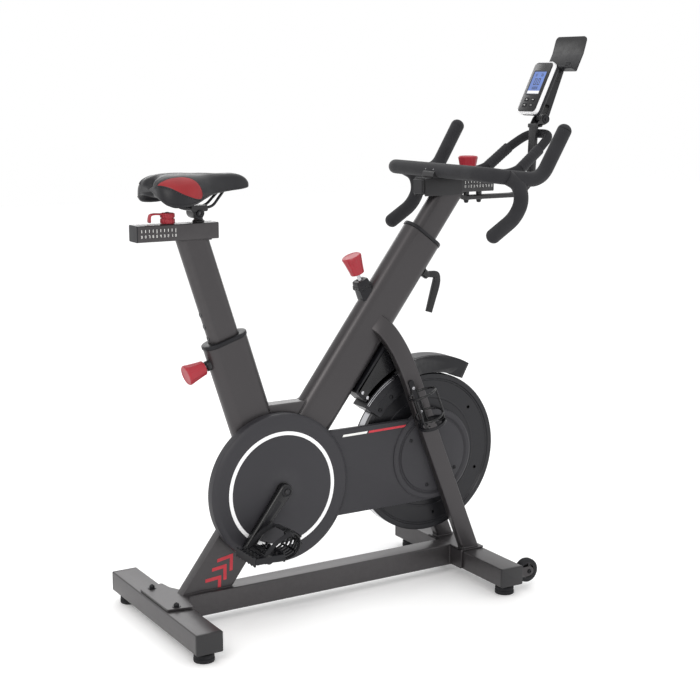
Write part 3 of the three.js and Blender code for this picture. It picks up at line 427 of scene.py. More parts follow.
def inset(outline, by):
    """Moves a closed outline inwards."""
    pts = np.array(outline, float)
    a = pts - np.roll(pts, 1, 0)
    b = np.roll(pts, -1, 0) - pts
    a /= np.linalg.norm(a, axis=1)[:, None]
    b /= np.linalg.norm(b, axis=1)[:, None]
    area = np.sum(pts[:, 0] * np.roll(pts[:, 1], -1) - np.roll(pts[:, 0], -1) * pts[:, 1])
    turn = 1 if area > 0 else -1
    na, nb = np.stack([-a[:, 1], a[:, 0]], 1), np.stack([-b[:, 1], b[:, 0]], 1)
    n = na + nb
    n /= np.maximum(np.sum(n * na, 1), 0.3)[:, None]
    return pts + n * turn * by


def weld(points, radius=2.6, body="frame"):
    """A rippled weld bead."""
    path = bent(points, 12, 6, 4) if len(points) > 2 else np.array(points, float)
    length = np.sum(np.linalg.norm(np.diff(path, axis=0), axis=1))
    steps = max(8, int(length / 1.4))
    along_path = np.concatenate([[0], np.cumsum(np.linalg.norm(np.diff(path, axis=0), axis=1))])
    fine = np.stack([np.interp(np.linspace(0, length, steps), along_path, path[:, i]) for i in range(3)], 1)
    scale = 1 + 0.16 * np.sin(np.arange(steps) * 1.9)
    scale[0] = scale[-1] = 0.3
    return piece("weld", swept(fine, circle(radius, 10), scale, up=(0.3, 1, 0.2)), body, FRAME)


def stadium(oval, grow):
    """The outline of an oval tube, from its length and width, grown all round."""
    length, width = oval[0] + 2 * grow, oval[1] + 2 * grow
    return rounded([(-length / 2, -width / 2), (length / 2, -width / 2), (length / 2, width / 2),
        (-length / 2, width / 2)], width / 2 - 0.01, 14)


def leaning_rings(line, stops):
    """Rings square to a leaning line, from (distance, oval, growth) stops."""
    rings = []
    for distance, oval, grow in stops:
        ring = []
        for u, v in stadium(oval, grow):
            x, z = along(*line, distance, u)
            ring.append(spot(x, v, z))
        rings.append(ring)
    return rings


def fluted(foot, axis, stops, flutes=10, depth=0.05, count=80):
    """A grip with finger flutes, from (radius, distance, flute strength) stops."""
    def radius_at(t, stop):
        return max(stop[0] * (1 - depth * stop[2] * (0.5 - 0.5 * math.cos(flutes * t)) ** 2), 0.01)
    return rings_to_mesh(turned(radius_at, stops, foot, frame_about(axis, (0, 1, 0)), count))


def pull_knob(name, foot, axis, body, node):
    """A red tapered knob with a flat cap."""
    stops = [(13, 0, 0), (18, 0.4, 0), (19, 2, 0.1), (19.6, 8, 0.7), (22.6, 26, 1), (25.6, 42, 1),
        (26.6, 46, 0.6), (26.4, 49, 0.2), (24.5, 51.4, 0), (21, 52, 0), (20, 51.2, 0), (0, 51.0, 0)]
    return piece(name, fluted(foot, axis, stops), body, RED, node)


SEGMENTS = {"0": "abcdef", "1": "bc", "2": "abged", "3": "abgcd", "4": "fgbc", "5": "afgcd", "6": "afgedc",
    "7": "abc", "8": "abcdefg", "9": "gfabcd"}


def digit_bars(text, width, height, stroke):
    """Plain seven-bar digits as 2-D boxes (u0, u1, v0, v1) about the middle of the text."""
    w, h, s = width / 2, height / 2, stroke / 2
    where = {"a": (-w, w, h - 2 * s, h), "g": (-w, w, -s, s), "d": (-w, w, -h, -h + 2 * s),
        "b": (w - 2 * s, w, 0, h), "c": (w - 2 * s, w, -h, 0), "f": (-w, -w + 2 * s, 0, h),
        "e": (-w, -w + 2 * s, -h, 0)}
    out = []
    for i, mark in enumerate(text):
        shift = (i - (len(text) - 1) / 2) * width * 1.5
        for key in SEGMENTS.get(mark, ""):
            u0, u1, v0, v1 = where[key]
            out.append((u0 + shift, u1 + shift, v0, v1))
    return out


def flat_bars(bars, place, low, high):
    return [extruded([(a, c), (b, c), (b, d), (a, d)], place, low, high) for a, b, c, d in bars]


def moved(bars, across, up):
    return [(a + across, b + across, c + up, d + up) for a, b, c, d in bars]


def scale_mark(number, x, top, lengths, low, digit, y):
    """A tick and its number on a tube's right face; every fifth tick has the first of the two lengths."""
    tick = (x - 0.6, x + 0.6, top - lengths[0 if number % 5 == 0 else 1], top)
    return flat_bars([tick] + moved(digit_bars(str(number), *digit, 1.0), x, low), in_side_view, y, y + 0.4)


# ---------------------------------------------------------------- base
BOX_SECTION = rectangle(-35, 35, -26, 26, 3.5, 4)


def stabilizer(end, centre):
    def place(u, v, w):
        return spot(centre + u, w, 54 + v)
    piece(f"stabilizer_{end}", extruded(BOX_SECTION, place, -258, 258), "frame", FRAME, f"{end}_stabilizer")
    for side in (-1, 1):
        stops = [(0.93, 250), (0.93, 258.2), (1.004, 258.4), (1.004, 263.6), (0.99, 264.7), (0.95, 265.2)]
        rings = [[place(u * k, v * k, side * w) for u, v in BOX_SECTION] for k, w in stops]
        piece(f"end_cap_{end}_{side + 1}", rings_to_mesh(rings), "frame", DARK)


stabilizer("rear", 35)
stabilizer("front", 935)

RAIL_SECTION = rectangle(-29, 29, 26, 86, 3, 4)
rail = extruded(RAIL_SECTION, in_end_view, 70.2, 899.8)
plate_outline = rounded([(5, -86), (71, -99), (76, -60), (92, -29), (92, 29), (76, 60), (71, 99), (5, 86)],
    [5, 6, 8, 8, 8, 8, 6, 5], 4)
piece("rail", rail, "frame", FRAME, "base_rail")
piece("rear_plate", extruded(plate_outline, spot, 80.3, 86.3), "frame", FRAME, bevel=0.9)
saddle_plate = rectangle(894, 971, -85, 85, 5, 4)
apron = rectangle(-85, 85, 30, 84.4, 5, 4)
piece("fork_saddle", extruded(saddle_plate, spot, 80.3, 84.4), "frame", FRAME, bevel=0.9)
piece("fork_apron", extruded(apron, in_end_view, 894, 899.6), "frame", FRAME, bevel=0.9)
for y in (-76, 76):
    fastener("rear_bolt", (34, y, 86.2), UP, 7, 8, washer=11)
for y in (-72, 72):
    fastener("front_bolt", (912, y, 84.3), UP, 5, 5, washer=8.5)
for side in (-1, 1):
    weld([(72, side * 30, 30), (72, side * 30, 80)], 2.4)
    weld([(893, side * 30, 30), (893, side * 30, 84)], 2.4)
    weld([(94, side * 29.4, 84.5), (150, side * 29.4, 86.2)], 1.6)

for end, x in (("rear", 35), ("front", 935)):
    for side_name, side in SIDES.items():
        name = f"levelling_foot_{end}_{side_name}"
        y = side * 230
        pad = [(0, 0), (23, 0), (25.4, 0.8), (26, 2.6), (26, 9), (25.2, 10), (24.2, 10.4), (24.2, 12.4),
            (25.2, 13), (25.4, 14.5), (24.8, 19), (23.6, 20.6), (12, 21.2), (12, 21.4), (0, 21.4)]
        piece(f"{name}_pad", lathe(pad, (x, y, 0), UP, 56), name, RUBBER, name)
        nut = lathe([(0, 21.3), (8.6, 21.3), (9.4, 21.8), (9.4, 25.4), (8.6, 26), (0, 26)], (x, y, 0), UP, 6)
        turns = []
        for k in range(14):
            turns += [(4.3, 26 + k * 2), (5.0, 26.8 + k * 2), (5.0, 27.2 + k * 2)]
        stud = lathe([(0, 26)] + turns + [(4.3, 54), (0, 54)], (x, y, 0), UP, 20)
        piece(f"{name}_stud", [nut, stud], name, BOLT)

for side_name, side in SIDES.items():
    y = side * 222
    body = f"transport_wheel_{side_name}"
    tyre = both_sides([(22, -10), (29, -10.6), (31.6, -9.6), (32.9, -6), (33, -1.5), (32.3, -1.2)])
    piece(f"{body}_tyre", hollow_lathe(tyre, (1014, y, 48), TO_LEFT, 64), body, RUBBER, body)
    hub = both_sides([(5.4, -9.5), (9.5, -9.5), (10.5, -8), (12, -3.6), (19, -3.6), (20, -8.6), (22.4, -9.4)],
        [(22.6, 0)])
    piece(f"{body}_hub", hollow_lathe(hub, (1014, y, 48), TO_LEFT, 48), body, GLOSSY)
    spokes = []
    for angle in np.radians(np.arange(0, 360, 72)):
        c, s = math.cos(angle), math.sin(angle)
        corners = [(10, -2.2), (20.5, -2.6), (20.5, 2.6), (10, 2.2)]
        spoke = [(1014 + u * c - v * s, 48 + u * s + v * c) for u, v in corners]
        spokes.append(extruded(spoke, in_side_view, y - 6, y + 6))
    piece(f"{body}_spokes", spokes, body, GLOSSY, bevel=0.6)
    cheek = rounded([(966, 34), (1014, 34), (1028, 40), (1028, 56), (1014, 62), (966, 62)],
        [1, 12, 12, 12, 12, 1], 5)
    for reach in (-14, 14):
        piece(f"wheel_cheek_{side_name}", extruded(cheek, in_side_view, y + reach - 2, y + reach + 2),
            "frame", FRAME, bevel=0.6)
        fastener(f"wheel_bolt_{side_name}", (1014, y + reach + math.copysign(1.8, reach), 48), (0, reach, 0),
            6.5, 4.5)
    pin = lathe(both_sides([(0, -16), (4.9, -16)]), (1014, y, 48), TO_LEFT, 20)
    piece(f"wheel_pin_{side_name}", pin, "frame", STEEL)

# ---------------------------------------------------------------- frame
TUBE, POST = (120, 60), (82, 42)
HEAD_LENGTH, SEAT_LENGTH = 775, 410
for node, line, length in (("head_tube", HEAD, HEAD_LENGTH), ("seat_tube", SEAT, SEAT_LENGTH)):
    stops = [(0, TUBE, 0), (length - 1, TUBE, 0), (length, TUBE, -0.8)]
    piece(node + "_skin", rings_to_mesh(leaning_rings(line, stops)), "frame", FRAME, node)
shell = both_sides([(12, -29), (33.5, -29), (35, -27.5)])
piece("shell", hollow_lathe(shell, CRANK_AXLE, TO_LEFT, 64), "frame", DARK, "bottom_bracket_shell")
for y0, y1 in ((-30.6, -28.6), (28.6, 30.6)):
    cup = [(10.6, y0), (24, y0), (25, (y0 + y1) / 2), (24, y1), (10.6, y1)]
    piece("bearing_cup", hollow_lathe(cup, CRANK_AXLE, TO_LEFT, 24), "frame", BOLT)


def leg_place(u, v, w):
    x, z = along(CRANK, HEAD[1], w, u - 8)
    return spot(x, v, z)


leg_section = rectangle(-58, 58, -15, 15, 4, 4)
leg = trimmed(extruded(leg_section, leg_place, -420, 0), (0, 0, 86.2), (0, 0, -1))
piece("rear_leg_skin", leg, "frame", FRAME, "rear_leg")
for tail, tip, heel in (((177.3, 165.5), (222.4, 173.7), (220.2, 129.4)),
        ((161.9, 143.5), (203.2, 148.8), (202.4, 107.7)), ((142.9, 117.4), (187.6, 121.1), (186.3, 90.0))):
    a, b, c = (np.array(p) for p in (tail, tip, heel))
    u, v = (a - b) / np.linalg.norm(a - b), (c - b) / np.linalg.norm(c - b)
    mark = [a, b, c, c + u * 9, b + (u + v) * 9, a + v * 9]
    piece("chevron", extruded(mark, in_side_view, -15.35, -14.8), "frame", PRINT_RED)
for y in (-15.5, 15.5):
    weld([(80, y, 86.5), (217, y, 86.5)])

bridge_section = rectangle(-22, 22, 500, 552, 6, 5)
bridge_rings = [[spot(x + (v - 526) * lean, u, v) for u, v in bridge_section]
    for x, lean in ((336, -0.32), (424, 0.74))]
piece("bridge", rings_to_mesh(bridge_rings), "frame", FRAME, "bridge_tube")
for x, lean in ((334, -0.32), (419, 0.74)):
    ring = [(x + (v - 526) * lean * 0.97, u * 1.03, v) for u, v in bridge_section]
    weld([ring[i % len(ring)] for i in range(len(ring) + 1)], 2.2)

FORK_POINTS = [(941, -62, 64.6), (778, -62, 474), (728, -61, 602), (697, -53, 672), (668, -34, 722),
    (646, -12, 744)]
for side_name, side in SIDES.items():
    path = curve_through([(x, -side * y, z) for x, y, z in FORK_POINTS], 12)
    fork = trimmed(swept(path, rectangle(-13.5, 13.5, -25, 25, 4.5, 4)), (0, 0, 84.6), (0, 0, -1))
    piece(f"fork_{side_name}", fork, "frame", FRAME, f"fork_leg_{side_name}")
    y = side * 62
    corners = ((906, -14.5), (960, -14.5), (960, 14.5), (906, 14.5), (906, -14.5))
    weld([(x, y + reach, 85.6) for x, reach in corners], 2.4)
axle = lathe(both_sides([(0, -68), (9.6, -68), (9.9, -67)]), WHEEL_AXLE, TO_LEFT, 32)
piece("axle", axle, "frame", STEEL, "flywheel_axle")

for line, end, node in ((SEAT, SEAT_LENGTH, "seat_tube_collar"), (HEAD, HEAD_LENGTH, "head_tube_collar")):
    stops = [(end - 30, TUBE, -3.6), (end + 0.2, TUBE, -3.4), (end + 0.3, TUBE, 1.2), (end + 1.2, TUBE, 2.0),
        (end + 7.4, TUBE, 2.0), (end + 9.4, TUBE, 0.9), (end + 10.0, TUBE, -1.2), (end + 10.2, POST, 4.0),
        (end + 9.4, POST, 1.2), (end + 8.0, POST, 0.35), (end - 30, POST, 0.35)]
    piece(node + "_ring", rings_to_mesh(leaning_rings(line, stops), loop=True), "frame", BLACK, node)

# ---------------------------------------------------------------- belt guard
disc = [(16, -62), (140, -62), (142.5, -61.2), (153.5, -61.2), (156, -62), (181, -62), (184.5, -61.4),
    (194, -55.6), (196.4, -52.5), (197, -49), (197, -30.6), (194.5, -30.6), (194.5, -49), (192, -53.6),
    (183, -59.2), (16, -59.5)]
arm = rectangle(344, 819, 234, 468, 6, 4)


def case_rings(outline, face, back, wall, edge):
    stops = [(wall, face + wall), (wall, back), (0, back), (0, face + edge), (edge * 0.3, face + edge * 0.3),
        (edge, face)]
    return rings_to_mesh([[spot(u, y, v) for u, v in inset(outline, by)] for by, y in stops])


boss = [(13, -49), (99.5, -49), (102.4, -48), (103.2, -45.6), (104, -44.8), (107, -44.8), (109.5, -47),
    (112.5, -48.8), (121, -48.8), (125.4, -46.8), (127, -43), (127, -30.6), (124.5, -30.6), (124.5, -42),
    (122, -44.4), (13, -44.4)]
piece("guard", [hollow_lathe(disc, CRANK_AXLE, TO_LEFT, 128), case_rings(arm, -44.5, -30.6, 2.5, 3),
    hollow_lathe(boss, WHEEL_AXLE, TO_LEFT, 96)], "frame", GUARD, "belt_guard", sharp=24)
ring = [(143, -61.0), (143.4, -62.1), (152.6, -62.1), (153, -61.0)]
piece("guard_ring", hollow_lathe(ring, CRANK_AXLE, TO_LEFT, 160), "frame", RING)
bushing = [(10.8, -63.2), (19, -63.2), (21, -62.4), (21.4, -61.6), (10.8, -61.6)]
piece("guard_bushing", hollow_lathe(bushing, CRANK_AXLE, TO_LEFT, 48), "frame", GLOSSY)
for t in np.radians((77, 147, 257, 327)):
    fastener("guard_screw", around(WHEEL, 86, t, -48.8), (0, -1, 0), 5.4, 2.4, mat=BLACK)
for name, mat, stripe in (("white", PRINT, [(533, 447), (608, 448), (611, 454), (536, 453)]),
        ("red", PRINT_RED, [(613, 448), (730, 450), (733, 456), (616, 454)])):
    piece("stripe_" + name, extruded(stripe, in_side_view, -44.9, -44.3), "frame", mat)


def wrapped(extra):
    """The belt's outline about both pulleys."""
    dx, dz = WHEEL[0] - CRANK[0], WHEEL[1] - CRANK[1]
    lean, gap = math.atan2(dz, dx), math.hypot(dx, dz)
    wrap = math.acos((95 - 28) / gap)
    pts = []
    for centre, r, start, end in ((CRANK, 95 + extra, lean + wrap, lean - wrap + 2 * math.pi),
            (WHEEL, 28 + extra, lean - wrap, lean + wrap)):
        pts += [around(centre, r, t) for t in np.linspace(start, end, 40)]
    return pts


belt = [[spot(u, y, v) for u, v in wrapped(extra)]
    for extra, y in ((0.4, -41), (3.3, -41), (3.3, -32), (0.4, -32))]
piece("belt_skin", rings_to_mesh(belt, loop=True), "frame", BELT, "belt")
pulley = [(10.5, -42), (24, -42), (26, -40), (26, -38), (78, -38), (80, -42), (97.5, -42), (97.5, -41.2),
    (94.8, -41), (94.8, -32), (97.5, -31.8), (97.5, -31), (80, -31), (78, -35), (26, -35), (26, -31),
    (10.5, -31)]
piece("pulley", hollow_lathe(pulley, CRANK_AXLE, TO_LEFT, 80), "crank", BLACK, "drive_pulley")

# ---------------------------------------------------------------- flywheel and brake
wheel = [(10.6, -42), (25, -42), (28, -41), (28, -22), (44, -20), (46, -18), (48, -15.6), (150, -15.6),
    (151.5, -16.4), (154.5, -16.4), (156, -15.6), (200, -15.6), (202, -17.5), (205, -17.5), (207, -20),
    (218.5, -20), (221, -17.5), (221, 17.5), (218.5, 20), (207, 20), (205, 17.5), (202, 17.5), (200, 15.6),
    (48, 15.6), (46, 18), (44, 20), (10.6, 20)]
piece("flywheel_body", hollow_lathe(wheel, WHEEL_AXLE, TO_LEFT, 160), "flywheel", IRON, "flywheel", sharp=20)
rim_groove = both_sides([(220.6, -12), (221.25, -11.6)])
piece("flywheel_band", hollow_lathe(rim_groove, WHEEL_AXLE, TO_LEFT, 160), "flywheel", STEEL)
# Each balance hole is a thin black disc on the flywheel face: painted shade for the dark inside of the hole.
hole = [(0, 0), (4.2, 0), (5.4, 0.1), (6, 0.35), (5.4, 0.5), (4.4, 0.35), (4.2, 0.1), (0, 0.1)]
for t in np.radians(np.arange(38, 398, 60)):
    for side in (-1, 1):
        piece("balance_hole_shade", lathe(hole, around(WHEEL, 178, t, side * 15.5), (0, side, 0), 24), "flywheel",
            BLACK)

ROD_TOP = (586, 919)
rod_vector = np.array([ROD_TOP[0] - WHEEL[0], ROD_TOP[1] - WHEEL[1]], float)
ROD_LENGTH = float(np.linalg.norm(rod_vector))
rod_vector /= ROD_LENGTH
ROD_AXIS = (rod_vector[0], 0, rod_vector[1])


def on_rod(distance):
    return (WHEEL[0] + rod_vector[0] * distance, 0, WHEEL[1] + rod_vector[1] * distance)


pull_knob("brake_grip", on_rod(550.8), ROD_AXIS, "brake_knob", "brake_knob")
bar = lathe([(0, 264.8), (4.4, 264.8), (5, 265.6), (5, 549), (4.2, 550.4), (0, 550.4)], WHEEL_AXLE, ROD_AXIS,
    28)
piece("brake_bar", bar, "brake_rod", STEEL, "brake_rod")


def boss_ring(distance, half, corner, slant=0.0):
    """A rounded-square ring about the brake rod."""
    ring = []
    for u, v in rectangle(-half, half, -half, half, corner, 6):
        x, _, z = on_rod(distance + slant * u)
        ring.append(spot(x + rod_vector[1] * u, v, z - rod_vector[0] * u))
    return ring


boss_stops = [(479, 19.2, 6, 0.6), (508, 18.2, 6), (509, 20.4, 7), (519, 20.4, 7), (521, 18.6, 7),
    (530, 17.8, 8), (532.6, 16, 8), (532.8, 9, 5), (530.5, 7.5, 5)]
piece("brake_boss", rings_to_mesh([boss_ring(*stop) for stop in boss_stops]), "frame", BLACK, bevel=0.7)
teeth = []
for k in range(12):
    t = 2 * math.pi * k / 12
    x, _, z = on_rod(513.5)
    u, v = 20.2 * math.cos(t), 20.2 * math.sin(t)
    u, v = np.clip(u * 1.35, -20.2, 20.2), np.clip(v * 1.35, -20.2, 20.2)
    at = (x + rod_vector[1] * u, v, z - rod_vector[0] * u)
    outward = (rod_vector[1] * u, v, -rod_vector[0] * u)
    teeth.append(lathe([(0, 0), (2.2, 0), (2.2, 1.0), (1.6, 1.5), (0, 1.5)], at, outward, 10))
piece("brake_boss_ribs", teeth, "frame", GLOSSY)


def arc(inner, outer, start, end, count=28):
    t = np.radians(np.linspace(start, end, count))
    return [around(WHEEL, outer, a) for a in t] + [around(WHEEL, inner, a) for a in t[::-1]]


carrier = [extruded(arc(227.4, 258, 108, 144), in_side_view, -31, 31)]
carrier += [extruded(arc(198, 227.6, 108.4, 143.6), in_side_view, y0, y1)
    for y0, y1 in ((-31, -24), (24, 31))]
piece("carrier", carrier, "brake_carrier", IRON, "brake_carrier", bevel=1.2)
for t in np.radians((113, 126, 139)):
    for side in (-1, 1):
        fastener("magnet_bolt", around(WHEEL, 212, t, side * 30.9), (0, side, 0), 6, 3.2,
            body="brake_carrier")

rear, front = along(*HEAD, 320, 60.3), along(*HEAD, 478, 60.3)
low_arc = [around(WHEEL, 262.4, t) for t in np.radians(np.linspace(112.4, 141, 14))]
housing = rounded([rear, front, (front[0] + 40, front[1] - 70)] + low_arc, [2, 2, 3] + [1] * 14, 2)
piece("housing", extruded(housing, in_side_view, -29, 29), "frame", BLACK, "brake_housing", bevel=1.6)
piece("housing_panel", extruded(inset(housing, 9), in_side_view, -29.8, 29.8), "frame", GLOSSY, bevel=0.7)
for x, z in ((619, 541), (604, 556)):
    for side in (-1, 1):
        fastener("housing_screw", (x, side * 29.7, z), (0, side, 0), 5, 2.4, mat=STEEL)
# Two thin bright steel arcs on the carrier's near face: painted highlights for the lit edges of the plastic
# parts.
for radius in (249.5, 254.5):
    bow = [around(WHEEL, radius, t, -31.5) for t in np.radians(np.linspace(110, 142, 30))]
    piece("carrier_edge_highlight", hose(bow, 0.9, 10), "brake_carrier", STEEL)

crown = [extruded(arc(266.8, 271, 61.5, 101, 40), in_side_view, -31, 31)]
crown += [extruded(arc(225, 267, 61.5, 101, 36), in_side_view, y0, y1)
    for y0, y1 in ((-31, -28.4), (28.4, 31))]
crown.append(extruded(arc(225, 267, 61.5, 62.3, 4), in_side_view, -31, 31))
piece("shroud", crown, "frame", BLACK, "brake_shroud", bevel=1.4)
# A lighter grey strip along the middle of the shroud's top face: painted highlight where the top catches the
# light.
band = arc(270.8, 272, 63, 99.5, 36)
piece("shroud_top_highlight", extruded(band, in_side_view, -25, 25), "frame", GUARD, bevel=0.5)

# ---------------------------------------------------------------- cranks and pedals
spindle = lathe(both_sides([(0, -85), (9.6, -85), (9.9, -84)]), CRANK_AXLE, TO_LEFT, 32)
piece("crank_spindle", spindle, "crank", STEEL, "crank_axle")
CRANK_LENGTH = 170


def crank_outline(angle, grow):
    """The side outline of a crank arm, grown all round."""
    c, s = math.cos(angle), math.sin(angle)
    pts = []
    for centre, r, start in ((0, 19 + grow, 90), (CRANK_LENGTH, 13 + grow, -90)):
        pts += [around((centre, 0), r, t) for t in np.radians(np.linspace(start, start + 180, 20))]
    return [(CRANK[0] + u * c - v * s, CRANK[1] + u * s + v * c) for u, v in pts]


for side_name, side in SIDES.items():
    angle = math.radians(-129) + (math.pi if side > 0 else 0)
    c, s = math.cos(angle), math.sin(angle)
    stops = [(-1.2, 66), (0, 67.2), (0, 78), (-2.2, 82.2), (-5.4, 84)]
    rings = [[spot(u, side * y, v) for u, v in crank_outline(angle, grow)] for grow, y in stops]
    piece(f"crank_arm_{side_name}", rings_to_mesh(rings), "crank", GLOSSY, f"crank_{side_name}", sharp=50)
    groove = [(CRANK[0] + u * c - v * s, CRANK[1] + u * s + v * c)
        for u, v in rounded([(30, -5.5), (148, -3.6), (148, 3.6), (30, 5.5)], 3, 5)]
    y0, y1 = sorted((side * 83.6, side * 84.5))
    piece(f"crank_rib_{side_name}", extruded(groove, in_side_view, y0, y1), "crank", BLACK, bevel=0.4)
    cap = [(0, 83.9), (13.5, 83.9), (14, 84.6), (13, 86.4), (9.4, 87), (9, 85.6), (0, 85.4)]
    piece(f"crank_cap_{side_name}", lathe(cap, CRANK_AXLE, (0, side, 0), 40), "crank", BLACK)
    nut = lathe([(0, 85.3), (6.6, 85.3), (7.2, 86), (7.2, 88.4), (6.4, 89.2), (0, 89.2)], CRANK_AXLE,
        (0, side, 0), 6)
    piece(f"crank_nut_{side_name}", nut, "crank", BOLT)

    body = f"pedal_{side_name}"
    px, pz = around(CRANK, CRANK_LENGTH, angle)

    def at_pedal(u, v, w, side=side, px=px, pz=pz):
        return spot(px + u, side * w, pz + v)
    shaft = [(0, 68), (6.6, 68), (6.9, 69), (6.9, 84), (9.4, 84.4), (9.4, 88.5), (8.4, 89), (8.2, 92),
        (13, 95), (12.6, 108), (10, 118), (9, 143), (10, 168), (12, 180), (12.6, 189), (11, 191.4),
        (0, 191.6)]
    piece(f"{body}_shaft", lathe(shaft, (px, 0, pz), (0, side, 0), 32), body, GLOSSY, body)
    rails = []
    for edge in (-1, 1):
        top = []
        for k in range(13):
            v = 191 - k * 8
            top += [(v, 9.5 if k % 2 else 12.2), (v - 3.2, 9.5 if k % 2 else 12.2)]
        teeth = [(w, -v) for w, v in top[::-1]] + top
        rings = [[at_pedal(edge * x, v, w) for w, v in teeth] for x in (38.4, 43.6)]
        rails.append(rings_to_mesh(rings))
    for w0, w1 in ((94.4, 100), (186, 191.8)):
        bar = rectangle(-40, 40, -8, 8, 5, 4)
        rails.append(extruded(bar, at_pedal, w0, w1))
    for w in (112, 131, 150, 169):
        web = rectangle(-40, 40, -3, 6, 1.5, 3)
        rails.append(extruded(web, at_pedal, w - 2, w + 2))
    piece(f"{body}_platform", rails, body, BLACK, bevel=0.7)
    # On each pedal the three front pins nearest the crank are bright steel and the rest black: painted
    # highlight on those three.
    for u in (-26, 26):
        for w in (103, 121.5, 140.5, 159.5, 178):
            pin = lathe([(0, 0), (2.2, 0), (2.2, 12.4), (1.6, 13), (0, 13)], (px + u, side * w, pz), UP, 8)
            piece(f"{body}_pin", pin, body, STEEL if u > 0 and w < 150 else BLACK)
    squash = 1.0 if side < 0 else 0.5  # the strap of the left cage is let out
    basket = curve_through([(34, 0, -9), (60, 0, -8), (84, 0, 2), (95, 0, 22 * squash), (92, 0, 42 * squash),
        (78, 0, 54 * squash), (60, 0, 55 * squash)], 8)
    bars = []
    for k, w in enumerate((105, 119, 133, 147, 161, 175, 183)):
        narrow = 1 - 0.10 * abs(w - 144) / 40
        line = [(px + 34 + (x - 34) * narrow, side * w, pz + z) for x, _, z in basket]
        bars.append(swept(line, rectangle(-3.6, 3.6, -1.9, 1.9, 1.3, 3)))
    for x, z in ((83, 2), (93.4, 24 * squash), (90, 44 * squash), (62, 54.4 * squash)):
        bars.append(hose([(px + x, side * 102, pz + z), (px + x + 1.5, side * 144, pz + z + 1),
            (px + x, side * 186, pz + z)], 3, 12, up=(1, 0, 0.2)))
    piece(f"{body}_basket", bars, body, GLOSSY, bevel=0.4)
    strap_path = curve_through([(-6, 0, -10), (-6, 0, 12), (14, 0, 34 * squash), (42, 0, 50 * squash),
        (62, 0, 56.4 * squash)], 8)
    straps = []
    for w in (101, 187):
        line = [(px + x, side * w, pz + z) for x, _, z in strap_path]
        straps.append(swept(line, rectangle(-1.1, 1.1, -6, 6, 0.6, 2)))
    over = curve_through([(62, 101, 56.4 * squash), (63, 120, 58 * squash), (63, 144, 58.4 * squash),
        (63, 168, 58 * squash), (62, 187, 56.4 * squash)], 8)
    straps.append(swept([(px + x, side * w, pz + z) for x, w, z in over], rectangle(-6, 6, -1.1, 1.1, 0.6, 2),
        up=(1, 0, 0)))
    piece(f"{body}_strap", straps, body, RUBBER)
    buckle = rectangle(-9, 9, 150, 172, 3, 3)
    plate = extruded([(px + 62 + u, w) for u, w in buckle], lambda u, v, w: spot(u, side * v, w), pz
        + 58.6 * squash, pz + 58.6 * squash + 2)
    piece(f"{body}_buckle", plate, body, GLOSSY, bevel=0.6)

# ---------------------------------------------------------------- bottle cage
cage_turn = math.radians(-21.3)


def at_cage(x, y, z):
    c, s = math.cos(cage_turn), math.sin(cage_turn)
    return (744 + x * c + z * s, -75.8 + y, 532 - x * s + z * c)


def cage_line(points, radius, up=(0.2, 1, 0.1)):
    """A wire of the bottle cage, in the cage's own axes."""
    return hose([at_cage(*p) for p in points], radius, 12, True, True, up)


def loop_at(z, radius, tilt, start, end):
    """A ring of the bottle cage, from one angle to another."""
    pts = []
    for t in np.radians(np.linspace(start, end, 44)):
        y = -42 + radius * math.cos(t)
        pts.append((radius * math.sin(t), y, z + tilt * (y + 42)))
    return pts


wires = [cage_line(loop_at(25, 37.5, -0.15, 14, 346), 3.1, up=(0, 0.1, 1)),
    cage_line(loop_at(-40, 36.5, 0.1, 14, 346), 2.7, up=(0, 0.1, 1)),
    cage_line(loop_at(-68, 33, 0, 0, 360), 2.7, up=(0, 0.1, 1))]
for x in (-33, 33):
    wires.append(cage_line([(x, -62, 24), (x, -62, -40), (x * 0.9, -62, -60), (x * 0.5, -50, -69),
        (x * 0.3, -42, -70)], 2.7))
for x in (-9, 9):
    wires.append(cage_line([(x, -4.5, 26), (x, -4.5, -62), (x * 0.9, -14, -69), (x * 0.7, -30, -70)], 2.7))
piece("bottle_wires", wires, "frame", GLOSSY, "bottle_cage")
back = [[spot(*at_cage(u, y, v)) for u, v in rounded([(-7, -66), (7, -66), (8, 56), (-8, 56)], 5, 4)]
    for y in (-4.4, -0.2)]
cup = [[spot(*at_cage(radius * math.sin(t), -42 + radius * math.cos(t), z))
    for t in np.linspace(0, 2 * math.pi, 40, endpoint=False)]
    for radius, z in ((26.5, -71), (38, -71), (39.6, -69.6), (39.6, -62), (38, -62), (37.6, -66),
    (26.5, -66.6))]
piece("bottle_plate", [rings_to_mesh(back), rings_to_mesh(cup, loop=True)], "frame", BLACK, bevel=0.6)
for z in (-38, 34):
    fastener("bottle_bolt", at_cage(0, -4.3, z), (0, -1, 0), 4.6, 3, mat=STEEL)

def tube_cap(outline, middle, x, way, stops):
    """A plug over a tube's end, from (scale, distance) stops."""
    return rings_to_mesh([[spot(x + way * d, u * k, middle + (v - middle) * k) for u, v in outline]
        for k, d in stops])


# ---------------------------------------------------------------- saddle side
post = trimmed(rings_to_mesh(leaning_rings(SEAT, [(260, POST, 0), (740, POST, 0)])), (0, 0, 989.6), UP)
piece("seat_post_skin", post, "seat_post", FRAME, "seat_post")
